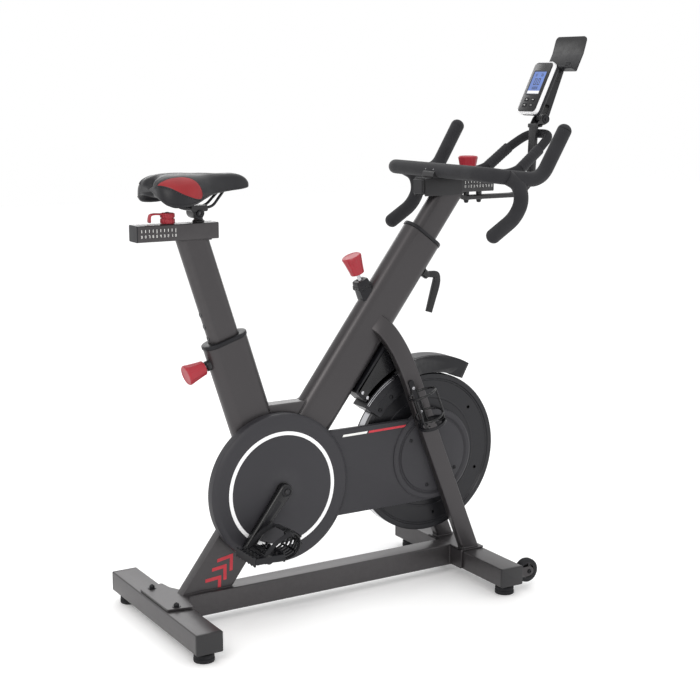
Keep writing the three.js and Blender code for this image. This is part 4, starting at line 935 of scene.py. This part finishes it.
# Each height hole is a thin black disc on the post's rear face: painted shade for the dark inside of the
# hole.
for i in range(-1, 5):
    x, z = along(*SEAT, 369 + 32 * i, -41.0)
    away = along(*SEAT, 369 + 32 * i, -60) - np.array([x, z])
    rim = [(0, 0.05), (6.2, 0.05), (6.6, 0.22), (7, 0.05), (7, -0.4), (0, -0.4)]
    piece("height_hole_shade", lathe(rim, (x, 0, z), (away[0], 0, away[1]), 24), "seat_post", BLACK)
foot, away = along(*SEAT, 369, -75), along(*SEAT, 369, -140) - along(*SEAT, 369, -75)
pull_knob("seat_height_grip", (foot[0], 0, foot[1]), (away[0], 0, away[1]), "seat_height_pin",
    "seat_height_knob")
root = along(*SEAT, 369, -43.2)
pin = lathe([(0, 0), (5, 0), (6, 1.4), (6, 32.5), (0, 32.5)], (root[0], 0, root[1]), (away[0], 0, away[1]),
    28)
piece("seat_height_bar", pin, "seat_height_pin", STEEL)
root = along(*SEAT, 369, -58)
sleeve = [(6.4, 0), (13.6, 0), (13.6, 9.4), (12.6, 11), (9, 11.8), (6.4, 11.8)]
piece("pin_sleeve", hollow_lathe(sleeve, (root[0], 0, root[1]), (away[0], 0, away[1]), 36), "frame", BOLT)

box_ring = rectangle(-25, 25, 990, 1030, 3, 4)
piece("housing_tube", extruded(box_ring, in_end_view, -19.6, 190.6), "seat_post", FRAME, "seat_housing")
for x, s in ((-19.8, -1), (190.8, 1)):
    stops = [(1.004, 0), (1.004, 1.6), (0.97, 2.3), (0.9, 2.4)]
    piece("housing_cap", tube_cap(box_ring, 1010, x, s, stops), "seat_post", BLACK)
# A thin black strip along the housing's top: painted shade for the dark inside of the carriage slot.
piece("housing_slot_shade", slab(-12, 180, -6.5, 6.5, 1029.6, 1030.25), "seat_post", BLACK,
    bevel=0.1)
for i in range(10):
    piece("seat_scale", scale_mark(i, 78.2 - 9.8 * i, 1020.5, (9.5, 7.0), 1004, (3.6, 6.4), -25.3),
        "seat_post", PRINT)
for y in (-20, 20):
    weld([(92, y, 989.2), (176, y, 989.2)], 2.2, "seat_post")

carriage = rectangle(-21.6, 21.6, 993.4, 1026.6, 2, 3)
piece("carriage", extruded(carriage, in_end_view, 56.4, 173.6), "seat_carriage", DARK, "seat_carriage")
neck = extruded(rectangle(136, 164, -6, 6, 5, 4), spot, 1024, 1033)
stub = lathe([(0, 1026), (11, 1026), (11, 1031), (15, 1031.4), (15.4, 1032.4), (15.2, 1034), (12, 1036),
    (11, 1039), (11, 1047.4), (10.2, 1048), (0, 1048)], (150, 0, 0), UP, 36)
piece("stub", [neck, stub], "seat_carriage", DARK)

hub_stops = [(14, 1031, 0), (17.4, 1031.3, 0.2), (18, 1033, 1), (18, 1041, 1), (17, 1042.6, 0.4),
    (15.6, 1043.4, 0), (15.6, 1044.6, 0), (17.4, 1045.4, 0.4), (18, 1047, 1), (18, 1053, 1),
    (17, 1055.8, 0.3), (13, 1057, 0), (0, 1057.2, 0)]
piece("seat_lever_hub", fluted((68, 0, 0), UP, hub_stops, 14, 0.07, 112), "seat_lever", RED,
    "seat_slide_knob")
lever_path = curve_through([(62, 0, 1053.5), (48, 0, 1054), (32, 0, 1054.6), (23, 0, 1052), (20.6, 0, 1044),
    (20.4, 0, 1034.5)], 8)
lever_scale = np.interp(np.linspace(0, 1, len(lever_path)), [0, 0.3, 0.7, 0.95, 1],
    [1.35, 0.95, 0.9, 1.05, 0.8])
lever = swept(lever_path, rectangle(-8, 8, -2.2, 2.2, 2, 5), lever_scale)
piece("seat_lever_arm", lever, "seat_lever", RED, sharp=60)
piece("seat_lever_bolt", [lathe([(0, 1004), (4.8, 1004), (4.8, 1031.4), (0, 1031.4)], (68, 0, 0), UP, 16),
    bolt_head((68, 0, 1056.8), UP, 6, 2)], "seat_lever", STEEL)

STATIONS = np.array([[18, 54, 1104, 1122], [20, 66, 1097, 1130], [24, 75, 1090, 1136], [34, 85, 1081, 1142],
    [52, 92, 1077, 1148], [82, 93, 1077, 1151], [112, 84, 1083, 1151], [142, 65, 1092, 1150],
    [170, 45, 1099, 1150], [200, 33, 1103, 1149], [230, 27, 1106, 1148], [256, 24, 1108, 1144],
    [272, 20, 1110, 1137], [280, 15, 1112, 1130], [284, 10, 1114, 1125]], float)


def station(x):
    xs = STATIONS[:, 0]
    i = int(np.clip(np.searchsorted(xs, x) - 1, 0, len(xs) - 2))
    t = (x - xs[i]) / (xs[i + 1] - xs[i])
    p = [STATIONS[max(0, min(len(xs) - 1, i + k)), 1:] for k in (-1, 0, 1, 2)]
    if i in (0, len(xs) - 2):
        return p[1] + (p[2] - p[1]) * t
    d = [xs[max(0, min(len(xs) - 1, i + k))] for k in (-1, 0, 1, 2)]
    m1 = (p[2] - p[0]) / (d[2] - d[0]) * (d[2] - d[1])
    m2 = (p[3] - p[1]) / (d[3] - d[1]) * (d[2] - d[1])
    return ((2 * t ** 3 - 3 * t ** 2 + 1) * p[1] + (t ** 3 - 2 * t ** 2 + t) * m1
        + (3 * t ** 2 - 2 * t ** 3) * p[2] + (t ** 3 - t ** 2) * m2)


def rear_notch(x, y):
    """How far the saddle's rear end steps forward between its two lobes."""
    return 26 * math.exp(-((y / 17) ** 2)) * np.clip((64 - x) / 46, 0, 1) ** 2


def saddle_at(x, t):
    """A point on the saddle's cover. t runs from the left skirt (0) over the crown to the right (pi)."""
    half, low, high = station(x)
    across = math.copysign(abs(math.cos(t)) ** 0.62, math.cos(t))
    rise = max(math.sin(t), 0) ** 0.72
    y = across * half
    dip = 6 * math.exp(-(y * y) / 120) * np.clip((236 - x) / 30, 0, 1) * np.clip((x - 14) / 20, 0, 1)
    crease = 1.3 * (math.exp(-((abs(y) - 22 - 0.2 * max(0, 110 - x)) / 1.6) ** 2)) * np.clip((200 - x) / 20,
        0, 1) * (rise > 0.7)
    return np.array([x + rear_notch(x, y), y, low + (high - low) * rise - dip * rise - crease])


def lifted(x, t, by):
    p = saddle_at(x, t)
    a = saddle_at(min(x + 0.5, 283.9), t) - saddle_at(max(x - 0.5, 18.1), t)
    b = saddle_at(x, min(t + 0.02, math.pi)) - saddle_at(x, max(t - 0.02, 0))
    n = np.cross(a, b)
    n /= np.linalg.norm(n)
    if n @ (p - np.array([x, 0, 1110])) < 0:
        n = -n
    return p + n * by


pad_x = np.concatenate([[18, 18.6, 19.6, 21, 23], np.linspace(26, 262, 84),
    [266, 270, 273, 276, 279, 281, 282.6, 283.6, 284]])
rings = []
for x in pad_x:
    half, low, high = station(x)
    ring = [saddle_at(x, t) for t in np.linspace(0.0, math.pi, 72)]
    tuck = min(12.0, half * 0.45)
    hem = [(half - tuck * k, low + lift * min(1, tuck / 12))
        for k, lift in ((0.25, -1.2), (0.6, -0.4), (1.0, 4.0))]
    ring += [(x, -y, z) for y, z in hem]
    floor = max(low + 3, 1098.0)
    inner = half - tuck - 2
    for y in np.linspace(-inner, inner, 9):
        ring.append((x + rear_notch(x, y), y, min(floor, high - 8)))
    ring += [(x, y, z) for y, z in hem[::-1]]
    rings.append([spot(*p) for p in ring])
pad = piece("saddle_cover", rings_to_mesh(rings), "saddle", LEATHER, "saddle_pad", levels=1, sharp=80)

LEAF = [(21, 50), (28, 57.5), (45, 61.5), (64, 62), (84, 60.5), (101, 53), (113, 41), (122, 25), (126.5, 10),
    (124, 3.5), (116, 3), (100, 6.5), (84, 11.5), (68, 17), (52, 25), (36, 36), (25, 44)]


def leaf_edge():
    pts = [np.array(p, float) for p in LEAF]
    out = []
    for i in range(len(pts)):
        a, b, c, d = pts[i - 1], pts[i], pts[(i + 1) % len(pts)], pts[(i + 2) % len(pts)]
        for t in np.linspace(0, 1, 6, endpoint=False):
            out.append(0.5 * (2 * b + (c - a) * t + (2 * a - 5 * b + 4 * c - d) * t * t
                + (3 * b - a - 3 * c + d) * t ** 3))
    return np.array(out)


edge = leaf_edge()
middle = np.array([80.0, 36.0])
for side in (-1, 1):
    def on_leaf(p, by, side=side):
        angle = math.radians(p[1])
        return lifted(p[0], math.pi - angle if side < 0 else angle, by)
    stops = [(1.0, -0.5), (1.0, 0.9), (0.97, 1.5), (0.85, 1.9)] + [(k, 2.0)
        for k in (0.7, 0.55, 0.4, 0.25, 0.1, 0.02)]
    rings = [[spot(*on_leaf(middle + (p - middle) * k, lift)) for p in edge] for k, lift in stops]
    patch = piece(f"saddle_panel_{side + 1}", rings_to_mesh(rings), "saddle", LEATHER_RED, sharp=70)
    piping = swept([on_leaf(p, 0.6) for p in edge], circle(1.3, 8), loop=True, up=(0.3, 1, 0.5))
    piece(f"saddle_piping_{side + 1}", piping, "saddle", LEATHER, sharp=80)
    stitches = []
    outer = [middle + (p - middle) * 1.06 for p in edge]
    for i in range(0, len(outer), 2):
        p, q = outer[i], outer[(i + 1) % len(outer)]
        if min(p[1], q[1]) < 5:
            continue
        a, b = on_leaf(p, 0.25), on_leaf(q, 0.25)
        stitches.append(hose([a, (a + b) / 2, b], 0.45, 6, up=(0.3, 0.9, 0.4)))
    piece(f"saddle_stitches_{side + 1}", stitches, "saddle", THREAD)
for i, t in enumerate((0.02, math.pi - 0.02)):
    line = [lifted(x, t, 0.1) for x in np.linspace(24, 279, 70)]
    piece(f"saddle_hem_{i}", hose(line, 1.5, 10, True, True, up=(0.2, 1, 0.3)), "saddle", LEATHER, sharp=80)

pan = []
for x in np.linspace(36, 272, 40):
    half, base = max(4.0, station(x)[0] - 15.5), max(1094.0, station(x)[1] + 1.5)
    outline = rectangle(-half, half, base, base + 6, 2.5, 3)
    pan.append([spot(x, u, v) for u, v in outline])
piece("saddle_pan", rings_to_mesh(pan), "saddle", BLACK, "saddle_base")
ribs = []
for x in (56, 80, 104, 128):
    half = max(4.0, station(x)[0] - 24)
    ribs.append(slab(x - 1.2, x + 1.2, -half, half, 1090, 1095))
piece("saddle_ribs", ribs, "saddle", BLACK, bevel=0.5)
nose_z = max(1093.0, station(217)[1] + 4)
half_rail = lambda s: [(60, s * 38, 1093), (93, s * 24, 1067), (118, s * 20, 1067), (178, s * 20, 1067),
    (217, s * 12, nose_z)]
rail_path = bent(half_rail(-1) + half_rail(1)[::-1], 14, 8)
piece("rails", hose(rail_path, 3.5, 16, True, True, up=(0.1, 0.3, 1)), "saddle", RAIL, "saddle_rails")
clamp = [lathe(both_sides([(0, -22), (13.6, -22), (15, -20.6)]), (142, 0, 1054), TO_LEFT, 40)]
cheek = rectangle(120, 164, 1058, 1073, 4.5, 5)
clamp.append(extruded(cheek, in_side_view, -27, 27))
piece("clamp", clamp, "saddle", DARK, "saddle_clamp", bevel=0.9)
for side in (-1, 1):
    rings_at = [(4, 0), (12.8, 0), (13.4, 0.8), (13, 2.6), (11, 3.2), (9.4, 3.2), (9, 2.2), (8.6, 2.2),
        (8.4, 6.6), (7.6, 7.6), (4.2, 7.8), (4, 5.2)]
    piece(f"clamp_bolt_{side + 1}", [hollow_lathe(rings_at, (142, side * 22.4, 1054), (0, side, 0), 40),
        lathe([(0, 0), (4.2, 0), (4.2, 5.4), (0, 5.4)], (142, side * 22.4, 1054), (0, side, 0), 6)], "saddle",
        BOLT)

# ---------------------------------------------------------------- handlebar side
post = trimmed(rings_to_mesh(leaning_rings(HEAD, [(625, POST, 0), (1035, POST, 0)])), (0, 0, 1072.6),
    (0, 0, 1))
piece("bar_post", post, "handlebar_post", FRAME, "handlebar_post")
tube_ring = rectangle(-22, 22, 1073, 1111, 3, 4)
piece("slide_bar", extruded(tube_ring, in_end_view, 794.6, 1027.4), "handlebar_post", DARK,
    "handlebar_slide_tube")
for x, s in ((794.4, -1), (1027.6, 1)):
    stops = [(1.004, 0), (1.004, 1.4), (0.97, 2.2), (0.88, 2.4), (0.86, 1.9)]
    piece("slide_cap", tube_cap(tube_ring, 1092, x, s, stops), "handlebar_post", BLACK)
for i in range(10):
    piece("bar_scale", scale_mark(i, 934 + 9.8 * i, 1102, (7, 4.5), 1088, (3.8, 7.0), -22.3),
        "handlebar_post", PRINT)
arm_points = [(944, 0, 1057), (1132, 0, 1057), (1172, 0, 1092), (1176, 0, 1150), (1180, 0, 1246)]
arm_path = bent(arm_points, 30, 12)
flat = rectangle(-15, 15, -6, 6, 3.2, 4)
piece("arm_bar", swept(arm_path, flat), "handlebar_post", DARK, "console_support_arm", sharp=40)
rib = swept(arm_path[4:-4], rectangle(-8, 8, -6.6, 6.6, 2.6, 4))
piece("arm_rib", rib, "handlebar_post", BLACK, sharp=40)
for x in (953, 995):
    spacer = lathe([(0, 1062.6), (8, 1062.6), (8, 1072.8), (0, 1072.8)], (x, 0, 0), UP, 28)
    piece("arm_spacer", spacer, "handlebar_post", BOLT)
    fastener("arm_bolt", (x, 0, 1051.2), (0, 0, -1), 6.6, 8, body="handlebar_post", washer=9.5)
head = [extruded(rounded([(1173, 1240), (1196, 1243), (1198, 1252), (1174, 1252)], 3, 4), in_side_view, -19,
    19)]
for y0, y1 in ((-19, -14), (14, 19)):
    ear = rounded([(1176, 1243), (1206, 1249), (1219, 1256), (1222, 1267), (1212, 1278), (1200, 1278),
        (1190, 1268)], [2, 4, 10, 10, 10, 10, 8], 6)
    head.append(extruded(ear, in_side_view, y0, y1))
piece("arm_head", head, "handlebar_post", DARK, bevel=1.2)
for side in (-1, 1):
    disc = [(0, 18.8), (11.4, 18.8), (12, 19.6), (11.4, 21), (9.4, 21.4), (8.8, 20.6), (4.4, 20.6),
        (4.2, 22.4), (3.4, 23.2), (0, 23.4)]
    piece(f"pivot_disc_{side + 1}", lathe(disc, (1207, 0, 1264), (0, side, 0), 36), "handlebar_post", BOLT)

bracket = rounded([(-27, 1067), (-22.4, 1067), (-22.4, 1111.4), (22.4, 1111.4), (22.4, 1067), (27, 1067),
    (27, 1116), (-27, 1116)], [1.5, 1, 0.5, 0.5, 1, 1.5, 5, 5], 4)
shell_part = extruded(bracket, in_end_view, 801, 920)
tongue = extruded(rounded([(918, -18), (966, -18), (978, -8), (978, 8), (966, 18), (918, 18)],
    [1, 6, 6, 6, 6, 1], 4), spot, 1111.5, 1116)
cradle = extruded(rounded([(822, 1114), (878, 1114), (873, 1130), (864, 1137), (836, 1137), (827, 1130)], 4,
    4), in_side_view, -27, 27)
piece("bracket", [shell_part, tongue, cradle], "handlebar", DARK, "handlebar_bracket", bevel=1.0)
for x in (834, 866):
    for y in (-18, 18):
        fastener("cradle_bolt", (x, y, 1136.6), UP, 3.6, 2.6, body="handlebar", mat=STEEL)
horn = lambda s: [(1100, s * 241, 1256), (1016, s * 241, 1116), (940, s * 241, 1122), (850, s * 222, 1134)]
bar_path = bent(horn(-1) + horn(1)[::-1], 60, 18, 8)
bar_obj = piece("bar", hose(bar_path, 19.5, 32, True, True, up=(0.05, 0.2, 1)), "handlebar", FOAM,
    "handlebar", sharp=80)
for side_name, side in SIDES.items():
    y = side * 241
    drop_path = bent([(906, y, 1127), (946, y, 1108), (958, y, 1062), (934, y, 1020), (852, y, 968)], 34, 16,
        6)
    drop = piece(f"drop_{side_name}", hose(drop_path, 19.4, 32, False, True, up=(0, 1, 0)), "handlebar", FOAM,
        f"handlebar_drop_{side_name}", sharp=80)
    fillet = [(964, 0, 1106, 11), (962, 0, 1098, 9), (952, 0, 1112, 14)]
    gusset = []
    for x, _, z, r in fillet:
        t = np.linspace(0.02, math.pi - 0.02, 12)
        gusset.append(lathe([(r * math.sin(a), -r * math.cos(a) * 1.2) for a in t], (x, y, z), TO_LEFT, 24))
    piece(f"drop_web_{side_name}", gusset, "handlebar", FOAM, sharp=80)

leg = lambda s: [(862, s * 75, 1128), (1062, s * 75, 1121), (1148, s * 69, 1186), (1203, s * 48, 1224)]
loop_path = bent(leg(-1) + leg(1)[::-1], 46, 16, 8)
piece("loop", hose(loop_path, 12.4, 28, up=(0.05, 0.2, 1)), "handlebar", RUBBER, "aero_loop", sharp=80)
for side in (-1, 1):
    a, b = np.array([1078, side * 74, 1133.0]), np.array([1146, side * 69, 1184.5])
    line = np.array([a + (b - a) * t for t in np.linspace(0, 1, 40)])
    ribs = 1 + 0.035 * (np.abs(np.sin(np.linspace(0, 10 * math.pi, 40))) > 0.55)
    grip = swept(line, circle(14.8, 28), ribs, up=(0, 1, 0))
    piece(f"loop_grip_{side + 1}", grip, "handlebar", FOAM, sharp=50)
    sleeve = [(12.6, 0), (14.6, 0), (15.2, 1), (15.2, 13), (14.6, 14), (12.6, 14)]
    piece(f"loop_sleeve_{side + 1}", hollow_lathe(sleeve, (880, side * 75, 1127.4), (1, 0, -0.035), 28),
        "handlebar", BLACK)

pull_knob("bar_grip", (957, 0, 1117), UP, "handlebar_knob", "handlebar_knob")
bolt = lathe([(0, 1087), (4.9, 1087), (4.9, 1117.4), (0, 1117.4)], (957, 0, 0), UP, 20)
piece("bar_grip_bolt", bolt, "handlebar_knob", STEEL)

# ---------------------------------------------------------------- console
LEAN = math.radians(26)


def on_console(x, y, z):
    c, s = math.cos(LEAN), math.sin(LEAN)
    return spot(1207 + x * c + z * s, y, 1264 - x * s + z * c)


def face_outline(half, low, high, radius, steps=8):
    return rectangle(-half, half, low, high, radius, steps)


def case_part(stops):
    rings = []
    for x, shrink in stops:
        outline = face_outline(42 - shrink, -9 + shrink, 145 - shrink, max(3, 14 - shrink * 0.6))
        rings.append([on_console(x, u, v) for u, v in outline])
    return rings_to_mesh(rings)


piece("console_shell", case_part([(-60.0, 1.6), (-60.9, 0.6), (-60.4, -0.2), (-57, -0.4), (-49.6, -0.4),
    (-48.8, 0.3), (-48.8, 3)]), "console", WHITE, "console", sharp=50)
piece("console_back", case_part([(-48.9, 1.2), (-48.2, 0.6), (-40, 0.8), (-35, 2.6), (-32.6, 6.0),
    (-32, 12.0)]), "console", BLACK, sharp=50)
inner = [[on_console(x, u, v) for u, v in face_outline(38.6 - k, -5 + k, 141.4 - k, 11)]
    for x, k in ((-59.5, 0), (-61.2, 0), (-61.6, 0.5))]
piece("console_face", rings_to_mesh(inner), "console", GLOSSY, sharp=40)
bezel_out = face_outline(29.5, 44, 118, 4)
bezel_in = face_outline(26.2, 47.6, 114.4, 2)
bezel = [[on_console(x, u, v) for u, v in line] for line, x in ((bezel_out, -61.2), (bezel_out, -62.2),
    (bezel_in, -62.2), (bezel_in, -61.2))]
piece("console_bezel", rings_to_mesh(bezel, loop=True), "console", BLACK)


def on_face(u, v, w):
    return on_console(-w, u, v)


piece("console_screen", extruded(bezel_in, on_face, 61.2, 61.8), "console", SCREEN)
piece("console_strip", extruded([(-25.6, 48.2), (25.6, 48.2), (25.6, 56.6), (-25.6, 56.6)], on_face, 61.8,
    61.95), "console", PRINT)
readout = moved(digit_bars("00", 10, 20, 2.2), 0, 84)
for text, across, up in (("12", -14, 104), ("30", 12, 104), ("0000", 0, 65)):
    readout += moved(digit_bars(text, 4, 8, 1.1), across, up)
piece("console_digits", flat_bars([(-b, -a, c, d) for a, b, c, d in readout], on_face, 61.7, 61.95),
    "console", BLACK)
for i, (y, z) in enumerate(((-14, 30), (14, 30), (-14, 13), (14, 13))):
    name = f"console_button_{i + 1}"
    key = [[on_console(x, y + u, z + v) for u, v in face_outline(8 - k, -5 + k, 5 - k, 3.2, 5)]
        for x, k in ((-58.2, 0), (-61.4, 0), (-62.4, 0.5), (-62.7, 1.4))]
    piece(name + "_key", rings_to_mesh(key), name, RUBBER, name, sharp=40)
    legend = flat_bars([(y - 3.2, y + 3.2, z - 0.5, z + 0.5)]
        + ([(y - 0.5, y + 0.5, z - 2, z + 2)] if i % 2 else []), on_face, 62.6, 62.85)
    piece(name + "_mark", legend, name, PRINT)
    collar = [[on_console(x, y + u, z + v) for u, v in face_outline(8.8 + k, -5.8 - k, 5.8 + k, 3.8, 5)]
        for x, k in ((-61.3, 0.9), (-62.0, 0.7), (-62.0, 0), (-61.3, 0))]
    piece(name + "_collar", rings_to_mesh(collar, loop=True), "console", BLACK)
for y in (-30, 30):
    for z in (4, 132):
        c, s = math.cos(LEAN), math.sin(LEAN)
        at = (1207 - 32 * c + z * s, y, 1264 + 32 * s + z * c)
        fastener("console_screw", at, (c, 0, -s), 3.2, 1.6, body="console")

stem_outline = rounded([(-6, 2), (11, 2), (12, 16), (2, 145.5), (-8, 145.5), (1, 16)], [2, 4, 3, 1, 1, 3], 4)


def stem_place(u, v, w):
    return on_console(u, w, v)


stem = [extruded(stem_outline, stem_place, -12, 12),
    extruded([(-31.6, 40), (0, 40), (0, 110), (-31.6, 110)], stem_place, -14, 14)]
eye = [[on_console(r * math.cos(t), y, r * math.sin(t))
    for t in np.linspace(0, 2 * math.pi, 32, endpoint=False)]
    for r, y in ((11, -12.4), (12, -11.6), (12, 11.6), (11, 12.4))]
stem.append(rings_to_mesh(eye))
piece("stem", stem, "console", BLACK, "console_stem", bevel=1.0)


def tablet_lower(u, v, w):
    return on_console(2 - w, u, 146 + v)


def tablet_upper(u, v, w):
    run = np.array([-8, 48]) / math.hypot(8, 48)
    x, z = 2 + run[0] * v - w * run[1], 200 + run[1] * v + w * run[0]
    return on_console(x, u, z)


lower = extruded(rectangle(-66, 66, 0, 54, [3, 3, 0.1, 0.1], 4), tablet_lower, 0, 3.5)
upper = extruded(rectangle(-66, 66, 0, 48.6, [0.1, 0.1, 13, 13], 8), tablet_upper, 0, 3.5)
piece("tablet_plate", lower, "console", BLACK, "tablet_holder", bevel=0.8)
piece("tablet_top", upper, "console", GLOSSY, bevel=0.8)
ledge = [extruded(rounded([(-22, 146), (1.6, 146), (1.6, 149.5), (-18.5, 149.5), (-18.5, 154), (-22, 154)],
    [2, 0.5, 0.5, 1, 1.2, 1.2], 4), stem_place, -66, 66)]
for y in (-46, 46):
    hook = rounded([(-22, 150), (-18.5, 150), (-18.5, 161), (-20, 164), (-23.5, 163), (-22, 159)], 1.2, 3)
    ledge.append(extruded(hook, stem_place, y - 9, y + 9))
piece("tablet_ledge", ledge, "console", BLACK, bevel=0.8)
# ---------------------------------------------------------------- height lever
base, tip = along(*HEAD, 700, 60.3), along(*HEAD, 700, 82)
axis = (tip[0] - base[0], 0, tip[1] - base[1])
hub = [(0, 0), (13.6, 0), (13.8, 1.6), (12.2, 2.4), (12, 6), (11.4, 18), (10.4, 21.4), (8.6, 22.4), (0, 22.6)]
piece("lever_hub", lathe(hub, (base[0], 0, base[1]), axis, 36), "height_lever", GLOSSY, "height_lever")
arm_line = bent([(tip[0] - 9, 0, tip[1] + 5), (860, 0, 852), (856, 0, 826), (833, 0, 750)], 9, 8, 5)
arm_scale = np.interp(np.linspace(0, 1, len(arm_line)), [0, 0.15, 0.4, 0.6, 0.96, 1],
    [0.8, 0.95, 0.85, 1.05, 1.1, 0.9])
grip = swept(arm_line, rectangle(-7, 7, -10, 10, 4, 5), arm_scale)
piece("lever_arm", grip, "height_lever", GLOSSY, sharp=70)
stud = lathe([(0, -10), (4.8, -10), (4.8, 0.4), (0, 0.4)], (base[0], 0, base[1]), axis, 16)
piece("lever_stud", stud, "height_lever", STEEL)

# ---------------------------------------------------------------- stage, light and camera
scene = bpy.context.scene
floor_finish = finish_of("floor", (0.96, 0.96, 0.96), 0.7, 0.0, (60, 0.02), (3, 0.003))
floor_shader = floor_finish.node_tree.nodes["Principled BSDF"]
floor_shader.inputs["Emission Color"].default_value = (1, 1, 1, 1)
floor_shader.inputs["Emission Strength"].default_value = 0.12
floor_mesh = bpy.data.meshes.new("floor")
floor_mesh.from_pydata([(-12, -12, 0), (12, -12, 0), (12, 12, 0), (-12, 12, 0)], [], [(0, 1, 2, 3)])
floor_mesh.materials.append(floor_finish)
floor = bpy.data.objects.new("floor", floor_mesh)
scene.collection.objects.link(floor)
world = scene.world or bpy.data.worlds.new("world")
scene.world = world
world.use_nodes = True
world.node_tree.nodes["Background"].inputs["Color"].default_value = (1, 1, 1, 1)
world.node_tree.nodes["Background"].inputs["Strength"].default_value = 1.0


def soft_light(name, at, target, size, power, color=(1, 1, 1)):
    lamp = bpy.data.lights.new(name, "AREA")
    lamp.shape = "RECTANGLE"
    lamp.size, lamp.size_y = size
    lamp.energy = power
    lamp.color = color
    obj = bpy.data.objects.new(name, lamp)
    scene.collection.objects.link(obj)
    obj.location = at
    obj.rotation_euler = (Vector(target) - Vector(at)).to_track_quat("-Z", "Y").to_euler()


soft_light("key", (-2.6, -2.2, 2.8), (0, 0, 0.6), (1.4, 1.4), 38, (1, 0.97, 0.94))
soft_light("fill", (2.6, -2.4, 1.6), (0.1, 0, 0.6), (2.0, 2.0), 6)
soft_light("top", (0.2, 0.4, 3.4), (0, 0, 0.6), (2.4, 2.4), 14)
soft_light("rim", (0.8, 2.8, 2.0), (0, 0, 0.8), (2.0, 1.6), 18)

camera = bpy.data.cameras.new("camera")
camera.lens = 73.44
camera.sensor_width = 36
view = bpy.data.objects.new("camera", camera)
scene.collection.objects.link(view)
view.location = (-1.97676, -3.183, 1.3741)
view.rotation_euler = (math.radians(79.25), 0, math.radians(-31.04))
scene.camera = view
scene.view_settings.view_transform = "Standard"
